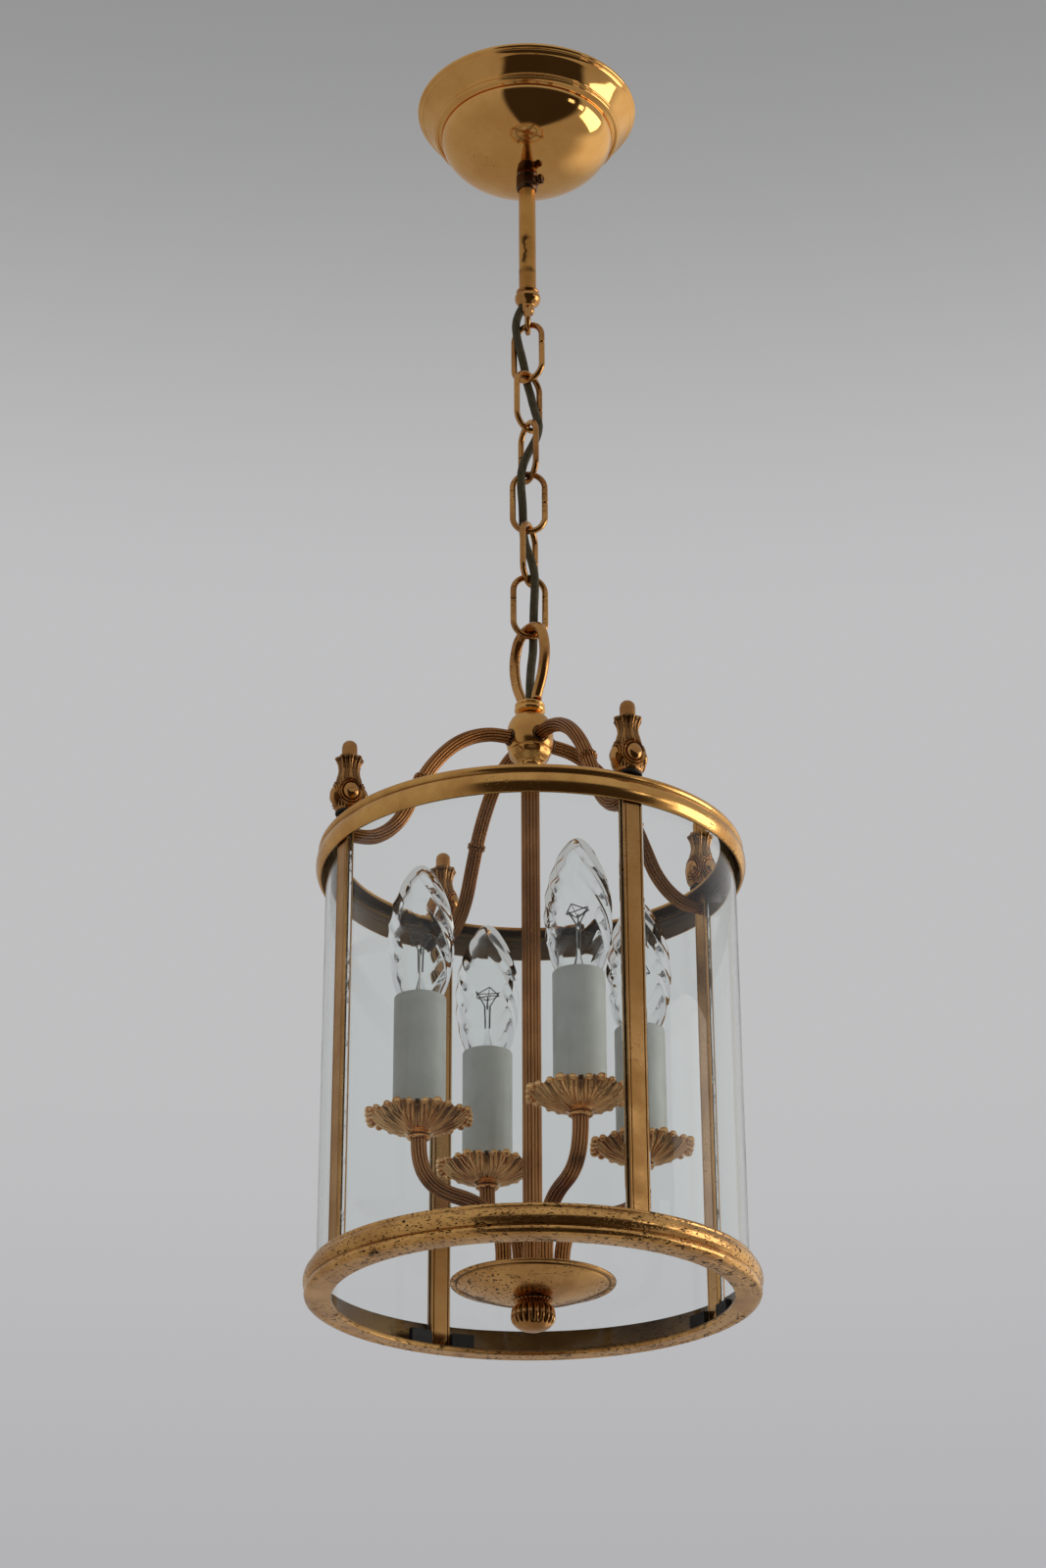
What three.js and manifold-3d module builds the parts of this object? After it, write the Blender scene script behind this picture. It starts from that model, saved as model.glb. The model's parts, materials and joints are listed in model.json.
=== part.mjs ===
// Candle lantern that hangs from a ceiling on a chain.
// Millimetres, +Z up. The origin is the centre of the ceiling plate's top face, so every height
// is negative and counts down from the ceiling. The four uprights stand on the +X, +Y, -X and -Y sides.
import * as THREE from "three";
import { mergeVertices } from "three/addons/utils/BufferGeometryUtils.js";
import Module from "manifold-3d";

const GAP = 0.3; // between pieces that touch
const FOLD = 4; // uprights, glass panels, scroll arms, finials and candles
const QUARTER = Math.PI / 2;
const rad = THREE.MathUtils.degToRad;

// ---- driving dimensions -------------------------------------------------------------------------
const PLATE = { radius: 26, thick: 2.6, screwHole: 2.2, screwAt: 18 };
const HOOK_WIRE = 2;
const EYE = { ring: 5.5, wire: 1.6, z: -22, capRadius: 6.6, capTop: -27, capBottom: -36 };
const TERMINAL = { x: 17, y: -13, top: -3, size: [20, 13, 11] };
const CANOPY = { rim: 65.4, rimTop: -0.6, domeRadius: 51.3, domeTop: -18.7, domeDepth: 28.3, wall: 1.4 };
const STEM = { radius: 5, bore: 3.4, top: -30.4, bottom: -133 };
const COLLAR = { radius: 6.4, bore: 5.3, top: -47.4, bottom: -58.7, screwZ: -53.2, azimuth: -62 };
const SCREW = { shank: 1.5, head: 2.9, headStart: 8.3, headEnd: 11.4 };
const END = { top: -129.6, bottom: -145.8, topRadius: 7.6, bottomRadius: 5.75 };
const END_RING = { ring: 5.9, z: -151.6, azimuth: 62 };
const CHAIN = { wire: 1.7, length: 40.6, width: 21.5, top: -152.2, azimuths: [-56, 17, -90, -28, 40, -14] };
const BOW = { wire: 2.9, halfWidth: 13.6, azimuth: -80, bottom: -399.6, foot: 5.9 };
const FLEX = 2.38; // radius
const NECK = { top: -399.9, bottom: -407, radius: 8.6 };
const HUB = { top: -407.3, bottom: -440, radius: 12.75, armZ: -423.5 };
const SCROLL = { radius: 3.9, inner: 13.1, outer: 104.5, z: -501, bead: 5.2, beadAt: 0.52 };
const TOP_RING = { outer: 114.25, inner: 101, wall: 110.9, top: -490.5, bottom: -506.4, flange: 2.2 };
const BOTTOM_RING = { outer: 115.3, inner: 101, wall: 110.9, top: -719.9, bottom: -735.8, flange: 2.6 };
const UPRIGHT = { outer: 110.3, inner: 104.9, skin: 1.25, face: 5.4, web: 2.6 };
const STUD = { at: 107, radius: 1.2, hole: 1.5, depth: 9.5 };
const GLASS = { outer: 108.75, inner: 106.45, gap: 0.4 };
const ROD = { radius: 5, bottom: -719.2 };
const DISH = { radius: 42, boss: 21.5, top: -719.5, bottom: -735.2 };
const KNOB = { radius: 11.1, top: -735.5, bottom: -751, lobes: 20, lobe: 0.035 };
const CANDLE = { ring: 61.9, turn: -5.1 };
const CANDLE_ARM = { radius: 4.1, inner: 16, bottom: -719.2, top: -656 };
const PAN = { radius: 29, floor: -649, bottom: -655.7, rim: -644.2, lobes: 8, lobe: 0.045 };
const HOLDER = { radius: 11.3, bore: 7.4, top: -590.5, seat: -620 };
const SLEEVE = { outer: 13.4, inner: 12.2, top: -582.5 };
const BULB = { radius: 17.5, cap: 6.7, capBottom: -616, top: -508 };
const FINIAL = { seat: -490.2, belly: 9.95, top: -447.4 };

// ---- materials ----------------------------------------------------------------------------------
const metal = (color, roughness) => new THREE.MeshStandardMaterial({ color, roughness, metalness: 1 });
const polishedBrass = metal(0xd8a24a, 0.16);
const agedBrass = metal(0xb98a45, 0.3);
const reededBrass = metal(0xa8744a, 0.36);
const castBrass = metal(0xa06a45, 0.38);
const zincSteel = metal(0x9a9a98, 0.4);
const clearGlass = new THREE.MeshStandardMaterial({
  color: 0xdfeeee, roughness: 0.03, metalness: 0, transparent: true, opacity: 0.3,
});
const whiteTube = new THREE.MeshStandardMaterial({ color: 0xe8e6dc, roughness: 0.5, metalness: 0 });
const oliveFlex = new THREE.MeshStandardMaterial({ color: 0x4b4a33, roughness: 0.6, metalness: 0 });
const blackPlastic = new THREE.MeshStandardMaterial({ color: 0x1d1c1a, roughness: 0.5, metalness: 0 });

// ---- geometry helpers ---------------------------------------------------------------------------
const wasm = await Module();
wasm.setup();

function toSolid(geometry) {
  const bare = geometry.index ? geometry.toNonIndexed() : geometry.clone();
  bare.deleteAttribute("normal");
  bare.deleteAttribute("uv");
  const merged = mergeVertices(bare, 1e-4);
  return new wasm.Manifold(
    new wasm.Mesh({
      numProp: 3,
      vertProperties: merged.attributes.position.array,
      triVerts: new Uint32Array(merged.index.array),
    }),
  );
}

function toGeometry(solid) {
  const { vertProperties, triVerts } = solid.getMesh();
  const geometry = new THREE.BufferGeometry()
    .setAttribute("position", new THREE.BufferAttribute(new Float32Array(vertProperties), 3))
    .setIndex(new THREE.BufferAttribute(new Uint32Array(triVerts), 1));
  geometry.computeVertexNormals();
  return geometry;
}

const join = (...geometries) => toGeometry(geometries.map(toSolid).reduce((a, b) => a.add(b)));
const cut = (body, ...tools) =>
  toGeometry(tools.map(toSolid).reduce((solid, tool) => solid.subtract(tool), toSolid(body)));

// A solid of revolution about Z from [radius, height] points that run upwards on the outside.
function turned(points, segments = 24) {
  const profile = points.map(([r, z]) => new THREE.Vector2(r, z));
  return new THREE.LatheGeometry(profile, segments).rotateX(QUARTER);
}

// The same for a hollow piece, whose outline closes on itself.
const turnedRing = (points, segments) => turned([...points, points[0]], segments);

// A turned piece whose edge is drawn into lobes: the lobes fade out towards the axis.
function lobed(geometry, count, depth, fullRadius) {
  const position = geometry.attributes.position;
  for (let i = 0; i < position.count; i++) {
    const [x, y] = [position.getX(i), position.getY(i)];
    const fade = Math.min(1, Math.hypot(x, y) / fullRadius) ** 3;
    const grow = 1 + depth * fade * Math.cos(count * Math.atan2(y, x));
    position.setXY(i, x * grow, y * grow);
  }
  return geometry;
}

function cylinder(radius, bottom, top, segments = 24) {
  const height = top - bottom;
  return new THREE.CylinderGeometry(radius, radius, height, segments)
    .rotateX(QUARTER)
    .translate(0, 0, bottom + height / 2);
}

// A round bar along a curve, with flat ends.
function bar(curve, radius, sides, steps) {
  const section = new THREE.Shape(
    Array.from({ length: sides }, (_, k) => {
      const turn = (k * 2 * Math.PI) / sides;
      return new THREE.Vector2(radius * Math.cos(turn), radius * Math.sin(turn));
    }),
  );
  return new THREE.ExtrudeGeometry(section, { steps, extrudePath: curve, bevelEnabled: false });
}

// A smooth curve in the XZ plane through [radius, height] points.
const profileCurve = (points) =>
  new THREE.CatmullRomCurve3(points.map(([r, z]) => new THREE.Vector3(r, 0, z)), false, "centripetal");

const spaceCurve = (points) =>
  new THREE.CatmullRomCurve3(points.map((p) => new THREE.Vector3(...p)), false, "centripetal");

// ---- scene graph --------------------------------------------------------------------------------
const lantern = new THREE.Group();

function add(name, geometry, material, parent = lantern) {
  const mesh = new THREE.Mesh(geometry, material);
  mesh.name = name;
  parent.add(mesh);
  return mesh;
}

function turnedGroup(azimuthDegrees) {
  const group = new THREE.Group();
  group.rotation.z = rad(azimuthDegrees);
  lantern.add(group);
  return group;
}

// One group for each quarter turn, and its number from 1.
function eachQuarter(offsetDegrees, build) {
  for (let k = 0; k < FOLD; k++) build(turnedGroup(offsetDegrees + k * 90), k + 1);
}

// ---- ceiling end --------------------------------------------------------------------------------
function ceilingHook() {
  const wire = spaceCurve([
    [0, -7.5, -1.2], [0, -8, -12], [0, -6.6, -17.2], [0, -3.4, -19.8],
    [0, 0, -20.4], [0, 3.4, -19.8], [0, 6.8, -17], [0, 8, -12.5],
  ]);
  const holes = [-1, 1].map((side) =>
    cylinder(PLATE.screwHole, -PLATE.thick - 1, 1, 12).translate(side * PLATE.screwAt, 0, 0),
  );
  const plate = cut(cylinder(PLATE.radius, -PLATE.thick, 0, 24), ...holes);
  return join(plate, bar(wire, HOOK_WIRE, 8, 12));
}

function terminalBlock() {
  const [w, d, h] = TERMINAL.size;
  const body = new THREE.BoxGeometry(w, d, h).translate(TERMINAL.x, TERMINAL.y, TERMINAL.top - h / 2);
  const wells = [-1, 1].map((side) =>
    cylinder(1.8, TERMINAL.top - h - 1, TERMINAL.top - h + 5, 8).translate(
      TERMINAL.x + side * 5, TERMINAL.y, 0,
    ),
  );
  return cut(body, ...wells);
}

function canopy() {
  const dome = (shrink, steps) =>
    Array.from({ length: steps + 1 }, (_, k) => {
      const radius = CANOPY.domeRadius - shrink;
      const holeEdge = Math.acos(5.6 / radius);
      const angle = holeEdge * (1 - k / steps);
      return [radius * Math.cos(angle), CANOPY.domeTop - (CANOPY.domeDepth - shrink) * Math.sin(angle)];
    });
  const outside = [
    ...dome(0, 6),
    [53.4, -19], [55.7, -18.2], [55.7, -15.8], [54.8, -14.7], [61.9, -6.6], [63.2, -4.3],
    [CANOPY.rim, -3.2], [CANOPY.rim, CANOPY.rimTop],
  ];
  const inside = [[62.2, CANOPY.rimTop], [62.2, -3.2], [53, -15], [50.6, -17.4]];
  return turnedRing([...outside, ...inside, ...dome(CANOPY.wall, 4).reverse()], 32);
}

function gripCollar() {
  const sleeve = turnedRing(
    [
      [COLLAR.bore, COLLAR.bottom], [COLLAR.radius - 1, COLLAR.bottom], [COLLAR.radius, COLLAR.bottom + 1.5],
      [COLLAR.radius, COLLAR.top - 1], [COLLAR.radius - 0.6, COLLAR.top], [COLLAR.bore, COLLAR.top],
    ],
    16,
  );
  const along = (radius, from, to) =>
    cylinder(radius, from, to, 12)
      .rotateY(QUARTER)
      .translate(0, 0, COLLAR.screwZ)
      .rotateZ(rad(COLLAR.azimuth));
  const boss = cut(along(3, 3, 8), cylinder(COLLAR.bore, COLLAR.bottom, COLLAR.top, 16));
  return cut(join(sleeve, boss), along(SCREW.shank + GAP, 1, 10));
}

function gripScrew() {
  const { shank, head, headStart, headEnd } = SCREW;
  const profile = [
    [0, 5.4], [shank, 5.4], [shank, headStart], [head, headStart], [head, headEnd - 0.8],
    [head - 0.9, headEnd], [0, headEnd],
  ];
  return turned(profile, 8).rotateY(QUARTER).translate(0, 0, COLLAR.screwZ).rotateZ(rad(COLLAR.azimuth));
}

function stemTube() {
  const tube = turnedRing(
    [[STEM.bore, STEM.bottom], [STEM.radius, STEM.bottom], [STEM.radius, STEM.top], [STEM.bore, STEM.top]],
    16,
  );
  const slot = bar(spaceCurve(INNER_FLEX.slice(2, 7)), FLEX + 0.8, 8, 8);
  return cut(tube, slot);
}

function stemEye() {
  const cap = turned(
    [
      [0, EYE.capTop - 2], [STEM.radius + GAP, EYE.capTop - 2], [STEM.radius + GAP, EYE.capBottom],
      [EYE.capRadius, EYE.capBottom], [EYE.capRadius, EYE.capTop - 2], [4, EYE.capTop], [0, EYE.capTop],
    ],
    16,
  );
  const ring = new THREE.TorusGeometry(EYE.ring, EYE.wire, 6, 14).rotateX(QUARTER).translate(0, 0, EYE.z);
  return join(cap, ring);
}

// ---- flex ---------------------------------------------------------------------------------------
// From the terminal block, in through the stem's slot and down its bore.
const INNER_FLEX = [
  [17, -13, -17.5], [16.6, -12.8, -24], [13.6, -10.7, -32], [8.6, -6.7, -37.6], [3.4, -2.6, -41.4],
  [0.6, -0.4, -46], [0, 0, -54], [0, 0, -90], [0, 0, -132.4],
];
// Out beside the stem's ring, in and out of the links, and down into the neck: chosen by hand so that it
// passes each pair of crossing links in the angle between them, and each link through its hole.
const WOVEN_FLEX = [
  [0, 0, -133.2], [-1.6, 0.9, -138.5], [-3.9, 2.1, -144], [-5.8, 2.4, -149.8], [-6.8, 1.8, -156],
  [-5, 3.1, -164], [-2.3, 3.8, -172.5], [0.4, 4.9, -181], [2.2, 5.6, -189.2], [3.6, 3.9, -198],
  [3.6, 1.1, -206],
  [4.3, -1.4, -214.5], [4.9, -3.5, -222.7], [3, -3.9, -231.5], [-0.4, -3.2, -239.5], [-3.9, -2.8, -248],
  [-5.7, -2.1, -256.2], [-5, -0.4, -264.5], [-3.1, 1.8, -273], [-1.5, 4.2, -281.5], [-0.6, 5.5, -289.7],
  [-0.3, 3.7, -298], [0, 0, -306.5], [0.2, -3.7, -315], [0.5, -5.5, -323.2], [1.4, -3.9, -331.5],
  [2.6, -0.6, -340], [4, 2.6, -348.5], [4.8, 4.5, -356], [4, 3.6, -366], [1.8, 1.7, -377],
  [0.4, 0.4, -388], [0, 0, -396], [0, 0, -402],
];

function flexLength(curve, steps) {
  return bar(curve, FLEX, 8, steps);
}

// ---- stem end and chain -------------------------------------------------------------------------
function stemEnd() {
  const body = turned(
    [
      [0, END.bottom], [END.bottomRadius, END.bottom], [END.bottomRadius + 0.7, END.bottom + 3.2],
      [END.topRadius - 0.9, END.bottom + 6.5], [END.topRadius, END.bottom + 9], [END.topRadius, END.top - 3.5],
      [END.topRadius - 1, END.top - 2.2], [END.topRadius - 0.6, END.top], [0, END.top],
    ],
    16,
  );
  const ring = new THREE.TorusGeometry(END_RING.ring, CHAIN.wire, 8, 16)
    .rotateX(QUARTER)
    .rotateZ(rad(END_RING.azimuth))
    .translate(0, 0, END_RING.z);
  const bore = cylinder(STEM.radius + GAP, STEM.bottom - GAP, END.top + 1, 16);
  const exit = bar(spaceCurve(WOVEN_FLEX.slice(0, 5)), FLEX + 0.5, 8, 8);
  return cut(join(body, ring), bore, exit);
}

// The centre line of an oval link, from the middle of its lower wire once round.
class LinkCurve extends THREE.Curve {
  getPoint(t, target = new THREE.Vector3()) {
    const bend = CHAIN.width / 2 - CHAIN.wire;
    const straight = CHAIN.length - CHAIN.width;
    const quarter = (bend * Math.PI) / 2;
    const half = 2 * quarter + straight;
    const side = t < 0.5 ? 1 : -1;
    const s = (t < 0.5 ? t : 1 - t) * 2 * half;
    let x = bend;
    let z = s - quarter - straight / 2;
    if (s < quarter) {
      x = bend * Math.sin(s / bend);
      z = -straight / 2 - bend * Math.cos(s / bend);
    } else if (s > quarter + straight) {
      const turn = (s - quarter - straight) / bend;
      x = bend * Math.cos(turn);
      z = straight / 2 + bend * Math.sin(turn);
    }
    return target.set(side * x, 0, z);
  }
}

const linkPitch = CHAIN.length - 4 * CHAIN.wire - GAP;
const linkCentre = (k) => CHAIN.top - CHAIN.length / 2 - k * linkPitch;

function chainLink() {
  return new THREE.TubeGeometry(new LinkCurve(), 20, CHAIN.wire, 8, true);
}

// ---- bow, neck and hub --------------------------------------------------------------------------
function hangingBow() {
  const lastLinkWire = linkCentre(CHAIN.azimuths.length - 1) - CHAIN.length / 2 + CHAIN.wire;
  const crest = lastLinkWire + CHAIN.wire + BOW.wire + GAP;
  const half = BOW.halfWidth;
  const side = [
    [BOW.foot, BOW.bottom], [BOW.foot + 0.1, BOW.bottom + 1.5], [BOW.foot + 1.5, BOW.bottom + 5],
    [half - 2.6, BOW.bottom + 13], [half - 0.2, BOW.bottom + 24], [half - 0.6, BOW.bottom + 33],
    [half * 0.72, crest - 4.2], [half * 0.37, crest - 0.9],
  ];
  const other = side.map(([x, z]) => [-x, z]).reverse();
  return bar(profileCurve([...side, [0, crest], ...other]), BOW.wire, 8, 28);
}

function neckCollar() {
  const outline = [
    [FLEX + 0.5, NECK.bottom], [6.4, NECK.bottom], [NECK.radius - 0.5, NECK.bottom + 1],
    [NECK.radius, NECK.bottom + 2.6], [NECK.radius - 0.8, NECK.bottom + 4.2],
    [NECK.radius - 0.4, NECK.bottom + 5.2], [NECK.radius - 1.4, NECK.top], [FLEX + 0.5, NECK.top],
  ];
  return turnedRing(outline, 16);
}

function hub() {
  return turned(
    [
      [0, HUB.bottom], [5.4, HUB.bottom], [6.6, HUB.bottom + 2.5], [11.2, HUB.bottom + 8.5],
      [HUB.radius - 0.3, HUB.bottom + 11.5], [HUB.radius, HUB.armZ], [HUB.radius - 0.3, HUB.top - 7],
      [HUB.radius - 2.3, HUB.top - 3], [6.2, HUB.top], [0, HUB.top],
    ],
    16,
  );
}

function scrollArm() {
  const route = profileCurve([
    [SCROLL.inner, HUB.armZ], [24, -424.5], [36, -429], [46, -436], [54, -444.5], [60.5, -453.5],
    [66, -463.5], [71.5, -475], [76.5, -485.5], [83.5, -494], [91.5, -499.4], [98, -500.9],
    [SCROLL.outer, SCROLL.z],
  ]);
  const centre = route.getPointAt(SCROLL.beadAt);
  const along = route.getTangentAt(SCROLL.beadAt);
  const bead = new THREE.SphereGeometry(SCROLL.bead, 8, 6)
    .scale(1, 1, 0.5)
    .rotateY(Math.atan2(along.x, along.z))
    .translate(centre.x, centre.y, centre.z);
  return join(bar(route, SCROLL.radius, 8, 14), bead);
}

// ---- cage ---------------------------------------------------------------------------------------
function topRing() {
  const { outer, inner, wall, top, bottom, flange } = TOP_RING;
  const ring = turnedRing(
    [
      [wall, bottom], [outer - 1.2, bottom], [outer, bottom + 2.2], [outer, bottom + 6.8],
      [outer - 1.5, bottom + 8.8], [outer - 0.8, bottom + 10.4],
      [outer - 0.8, top - 2.6], [outer - 2.2, top - 0.5], [outer - 3.8, top],
      [inner, top], [inner, top - flange], [wall, top - flange],
    ],
    36,
  );
  const holes = Array.from({ length: FOLD }, (_, k) =>
    cylinder(STUD.hole, top - 8, top + 2, 10).translate(STUD.at, 0, 0).rotateZ(k * QUARTER),
  );
  return cut(ring, ...holes);
}

function bottomRing() {
  const { outer, inner, wall, top, bottom, flange } = BOTTOM_RING;
  return turnedRing(
    [
      [inner, bottom], [outer - 3.8, bottom], [outer - 0.8, bottom + 1.6], [outer - 0.4, bottom + 3.8],
      [outer - 1.7, bottom + 5.3], [outer, bottom + 7.2], [outer, bottom + 11.6],
      [outer - 1.6, bottom + 14.8], [outer - 3.6, top], [wall, top - 1],
      [wall, bottom + flange], [inner, bottom + flange],
    ],
    36,
  );
}

const cageTop = TOP_RING.top - TOP_RING.flange - GAP;
const cageBottom = BOTTOM_RING.bottom + BOTTOM_RING.flange + GAP;

// An H section: a strip outside the glass, the same strip inside it, and a web that parts two panels.
function upright() {
  const { outer, inner, skin, face, web } = UPRIGHT;
  const section = new THREE.Shape(
    [
      [inner, -face], [inner + skin, -face], [inner + skin, -web], [outer - skin, -web],
      [outer - skin, -face], [outer, -face], [outer, face], [outer - skin, face],
      [outer - skin, web], [inner + skin, web], [inner + skin, face], [inner, face],
    ].map(([x, y]) => new THREE.Vector2(x, y)),
  );
  const post = new THREE.ExtrudeGeometry(section, { depth: cageTop - cageBottom, bevelEnabled: false })
    .translate(0, 0, cageBottom);
  return cut(post, cylinder(STUD.hole, cageTop - STUD.depth, cageTop + 1, 10).translate(STUD.at, 0, 0));
}

function glassPanel() {
  const edge = Math.asin((UPRIGHT.web + GLASS.gap) / GLASS.inner);
  const section = new THREE.Shape();
  section.absarc(0, 0, GLASS.outer, edge, QUARTER - edge, false);
  section.absarc(0, 0, GLASS.inner, QUARTER - edge, edge, true);
  const bottom = cageBottom + 1.5;
  return new THREE.ExtrudeGeometry(section, {
    depth: cageTop - 1 - bottom, bevelEnabled: false, curveSegments: 10,
  }).translate(0, 0, bottom);
}

function finial() {
  const { seat, belly, top } = FINIAL;
  return turned(
    [
      [0, seat - 8.5], [STUD.radius, seat - 8.5], [STUD.radius, seat], [6.4, seat], [7.3, seat + 3],
      [9.3, seat + 6.6], [belly, seat + 11], [8.6, seat + 16], [5.4, seat + 22.5], [7.2, seat + 30.6],
      [6.4, seat + 33.4], [4.1, seat + 33.6], [4.1, top - 3.2], [2.8, top - 0.8], [0, top],
    ],
    12,
  ).translate(STUD.at, 0, 0);
}

// ---- candle cluster -----------------------------------------------------------------------------
function dish() {
  const { radius, boss, top, bottom } = DISH;
  return turned(
    [
      [0, bottom], [10, bottom], [22, bottom + 1.6], [32, bottom + 4.3], [radius, bottom + 8.9],
      [radius, bottom + 9.6], [radius - 1.6, bottom + 9.3], [32, bottom + 6.6], [boss, bottom + 4],
      [boss, top - 1.4], [boss - 1.4, top], [0, top],
    ],
    28,
  );
}

function knob() {
  const { radius, top, bottom, lobes, lobe } = KNOB;
  const body = turned(
    [
      [0, bottom], [5.4, bottom + 0.3], [8.9, bottom + 2.2], [radius, bottom + 7.4],
      [radius - 1.2, bottom + 11.8], [6.4, top], [0, top],
    ],
    2 * lobes,
  );
  return lobed(body, lobes, lobe, 8);
}

function candleArm() {
  const route = profileCurve([
    [CANDLE_ARM.inner, CANDLE_ARM.bottom], [16.1, -710], [18, -701], [23, -693.5], [30, -689], [37.5, -686.6],
    [45.5, -685], [53.3, -681.6], [59, -675], [61.5, -666], [CANDLE.ring, CANDLE_ARM.top],
  ]);
  return bar(route, CANDLE_ARM.radius, 8, 16);
}

function bobeche() {
  const { radius, floor, bottom, rim, lobes, lobe } = PAN;
  const pan = turned(
    [
      [0, bottom], [6.4, bottom], [6.4, bottom + 3.8], [14, bottom + 4.7], [22, bottom + 7],
      [radius - 1.5, bottom + 9.6], [radius, rim], [26.6, rim - 0.6], [21, rim - 3.4],
      [15.4, floor], [0, floor],
    ],
    24,
  );
  return lobed(pan, lobes, lobe, radius).translate(CANDLE.ring, 0, 0);
}

function lampHolder() {
  const bottom = PAN.floor + GAP;
  return turned(
    [
      [0, bottom], [8, bottom], [8, bottom + 3], [HOLDER.radius, bottom + 5],
      [HOLDER.radius, HOLDER.top - 1.5], [HOLDER.radius - 0.8, HOLDER.top], [HOLDER.bore, HOLDER.top],
      [HOLDER.bore, HOLDER.seat], [0, HOLDER.seat],
    ],
    12,
  ).translate(CANDLE.ring, 0, 0);
}

function candleSleeve() {
  const bottom = PAN.floor + GAP;
  return turnedRing(
    [[SLEEVE.inner, bottom], [SLEEVE.outer, bottom], [SLEEVE.outer, SLEEVE.top], [SLEEVE.inner, SLEEVE.top]],
    16,
  ).translate(CANDLE.ring, 0, 0);
}

function bulb() {
  const { radius, cap, capBottom, top } = BULB;
  return turned(
    [
      [0, capBottom], [3.4, capBottom], [cap, capBottom + 3.5], [cap, HOLDER.top + 1.5],
      [10.1, HOLDER.top + 4.4], [11.5, SLEEVE.top - 1], [14.4, top - 66],
      [16.8, top - 55], [radius, top - 44], [16.6, top - 30.5],
      [14, top - 20], [9.6, top - 9.6], [5, top - 2.8], [2.2, top - 0.6], [0, top],
    ],
    12,
  ).translate(CANDLE.ring, 0, 0);
}

// ---- assembly -----------------------------------------------------------------------------------
add("ceiling_hook", ceilingHook(), zincSteel);
add("terminal_block", terminalBlock(), blackPlastic);
add("canopy", canopy(), polishedBrass);
add("grip_collar", gripCollar(), polishedBrass);
add("grip_screw", gripScrew(), polishedBrass);
add("stem_eye", stemEye(), agedBrass);
add("stem", stemTube(), polishedBrass);
add("stem_end", stemEnd(), agedBrass);
add("inner_flex", flexLength(spaceCurve(INNER_FLEX), 16), oliveFlex);
add("flex", flexLength(spaceCurve(WOVEN_FLEX), 44), oliveFlex);

CHAIN.azimuths.forEach((azimuth, k) => {
  const link = add(`chain_link_${k + 1}`, chainLink(), agedBrass);
  link.rotation.z = rad(azimuth);
  link.position.z = linkCentre(k);
});

add("hanging_bow", hangingBow(), agedBrass, turnedGroup(BOW.azimuth));
add("neck_collar", neckCollar(), polishedBrass);
add("hub", hub(), polishedBrass);
add("top_ring", topRing(), agedBrass);
add("bottom_ring", bottomRing(), agedBrass);
add("centre_rod", cylinder(ROD.radius, ROD.bottom, HUB.bottom - GAP, 16), reededBrass);
add("dish", dish(), agedBrass);
add("knob", knob(), agedBrass);

eachQuarter(0, (group, n) => {
  add(`scroll_arm_${n}`, scrollArm(), reededBrass, group);
  add(`finial_${n}`, finial(), castBrass, group);
  add(`upright_${n}`, upright(), agedBrass, group);
  add(`glass_panel_${n}`, glassPanel(), clearGlass, group);
});

eachQuarter(CANDLE.turn, (group, n) => {
  add(`candle_arm_${n}`, candleArm(), reededBrass, group);
  add(`bobeche_${n}`, bobeche(), castBrass, group);
  add(`lamp_holder_${n}`, lampHolder(), blackPlastic, group);
  add(`candle_sleeve_${n}`, candleSleeve(), whiteTube, group);
  add(`bulb_${n}`, bulb(), clearGlass, group);
});

export default lantern;
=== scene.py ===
# Looks of a candle lantern that hangs from a ceiling on a chain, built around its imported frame.
# Shapes are worked out in millimetres in the frame's axes, and a mesh is scaled to metres when it is made.
import json
import math
from collections import namedtuple

import bmesh
import bpy
import numpy as np
from mathutils import Matrix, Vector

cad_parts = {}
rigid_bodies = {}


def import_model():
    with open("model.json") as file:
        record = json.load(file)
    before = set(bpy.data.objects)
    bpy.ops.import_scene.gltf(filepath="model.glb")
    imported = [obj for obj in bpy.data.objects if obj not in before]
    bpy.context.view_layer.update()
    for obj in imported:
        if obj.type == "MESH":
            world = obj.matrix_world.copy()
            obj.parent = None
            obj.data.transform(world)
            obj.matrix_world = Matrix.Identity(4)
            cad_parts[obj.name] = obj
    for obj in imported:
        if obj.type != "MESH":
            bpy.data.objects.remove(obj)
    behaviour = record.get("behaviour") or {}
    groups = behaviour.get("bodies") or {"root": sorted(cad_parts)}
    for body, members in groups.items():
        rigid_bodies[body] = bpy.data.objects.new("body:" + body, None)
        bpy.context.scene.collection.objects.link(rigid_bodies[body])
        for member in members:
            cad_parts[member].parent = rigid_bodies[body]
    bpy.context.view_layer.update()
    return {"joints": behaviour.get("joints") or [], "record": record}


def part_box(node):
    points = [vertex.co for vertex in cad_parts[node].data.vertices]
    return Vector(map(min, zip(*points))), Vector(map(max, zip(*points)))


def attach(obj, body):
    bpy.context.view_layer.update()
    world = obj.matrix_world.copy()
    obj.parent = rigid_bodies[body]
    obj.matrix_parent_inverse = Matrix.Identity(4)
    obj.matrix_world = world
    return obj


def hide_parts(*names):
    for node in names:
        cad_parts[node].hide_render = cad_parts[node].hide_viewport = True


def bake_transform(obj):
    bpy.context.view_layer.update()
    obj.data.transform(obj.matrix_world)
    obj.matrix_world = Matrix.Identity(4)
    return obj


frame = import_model()

MM = 0.001
BODY_OF = {node: body for body, nodes in frame["record"]["behaviour"]["bodies"].items() for node in nodes}
SWINGS = [joint for joint in frame["joints"] if joint["name"].startswith("swing_")]
FOLD = 4  # the cage and the candles repeat on four sides

# ---- sizes --------------------------------------------------------------------------------------
Seat = namedtuple("Seat", "x y radius top bottom")


def box_of(node):
    """The two corners of a CAD node's box, in millimetres."""
    return [np.array(corner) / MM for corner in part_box(node)]


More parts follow.
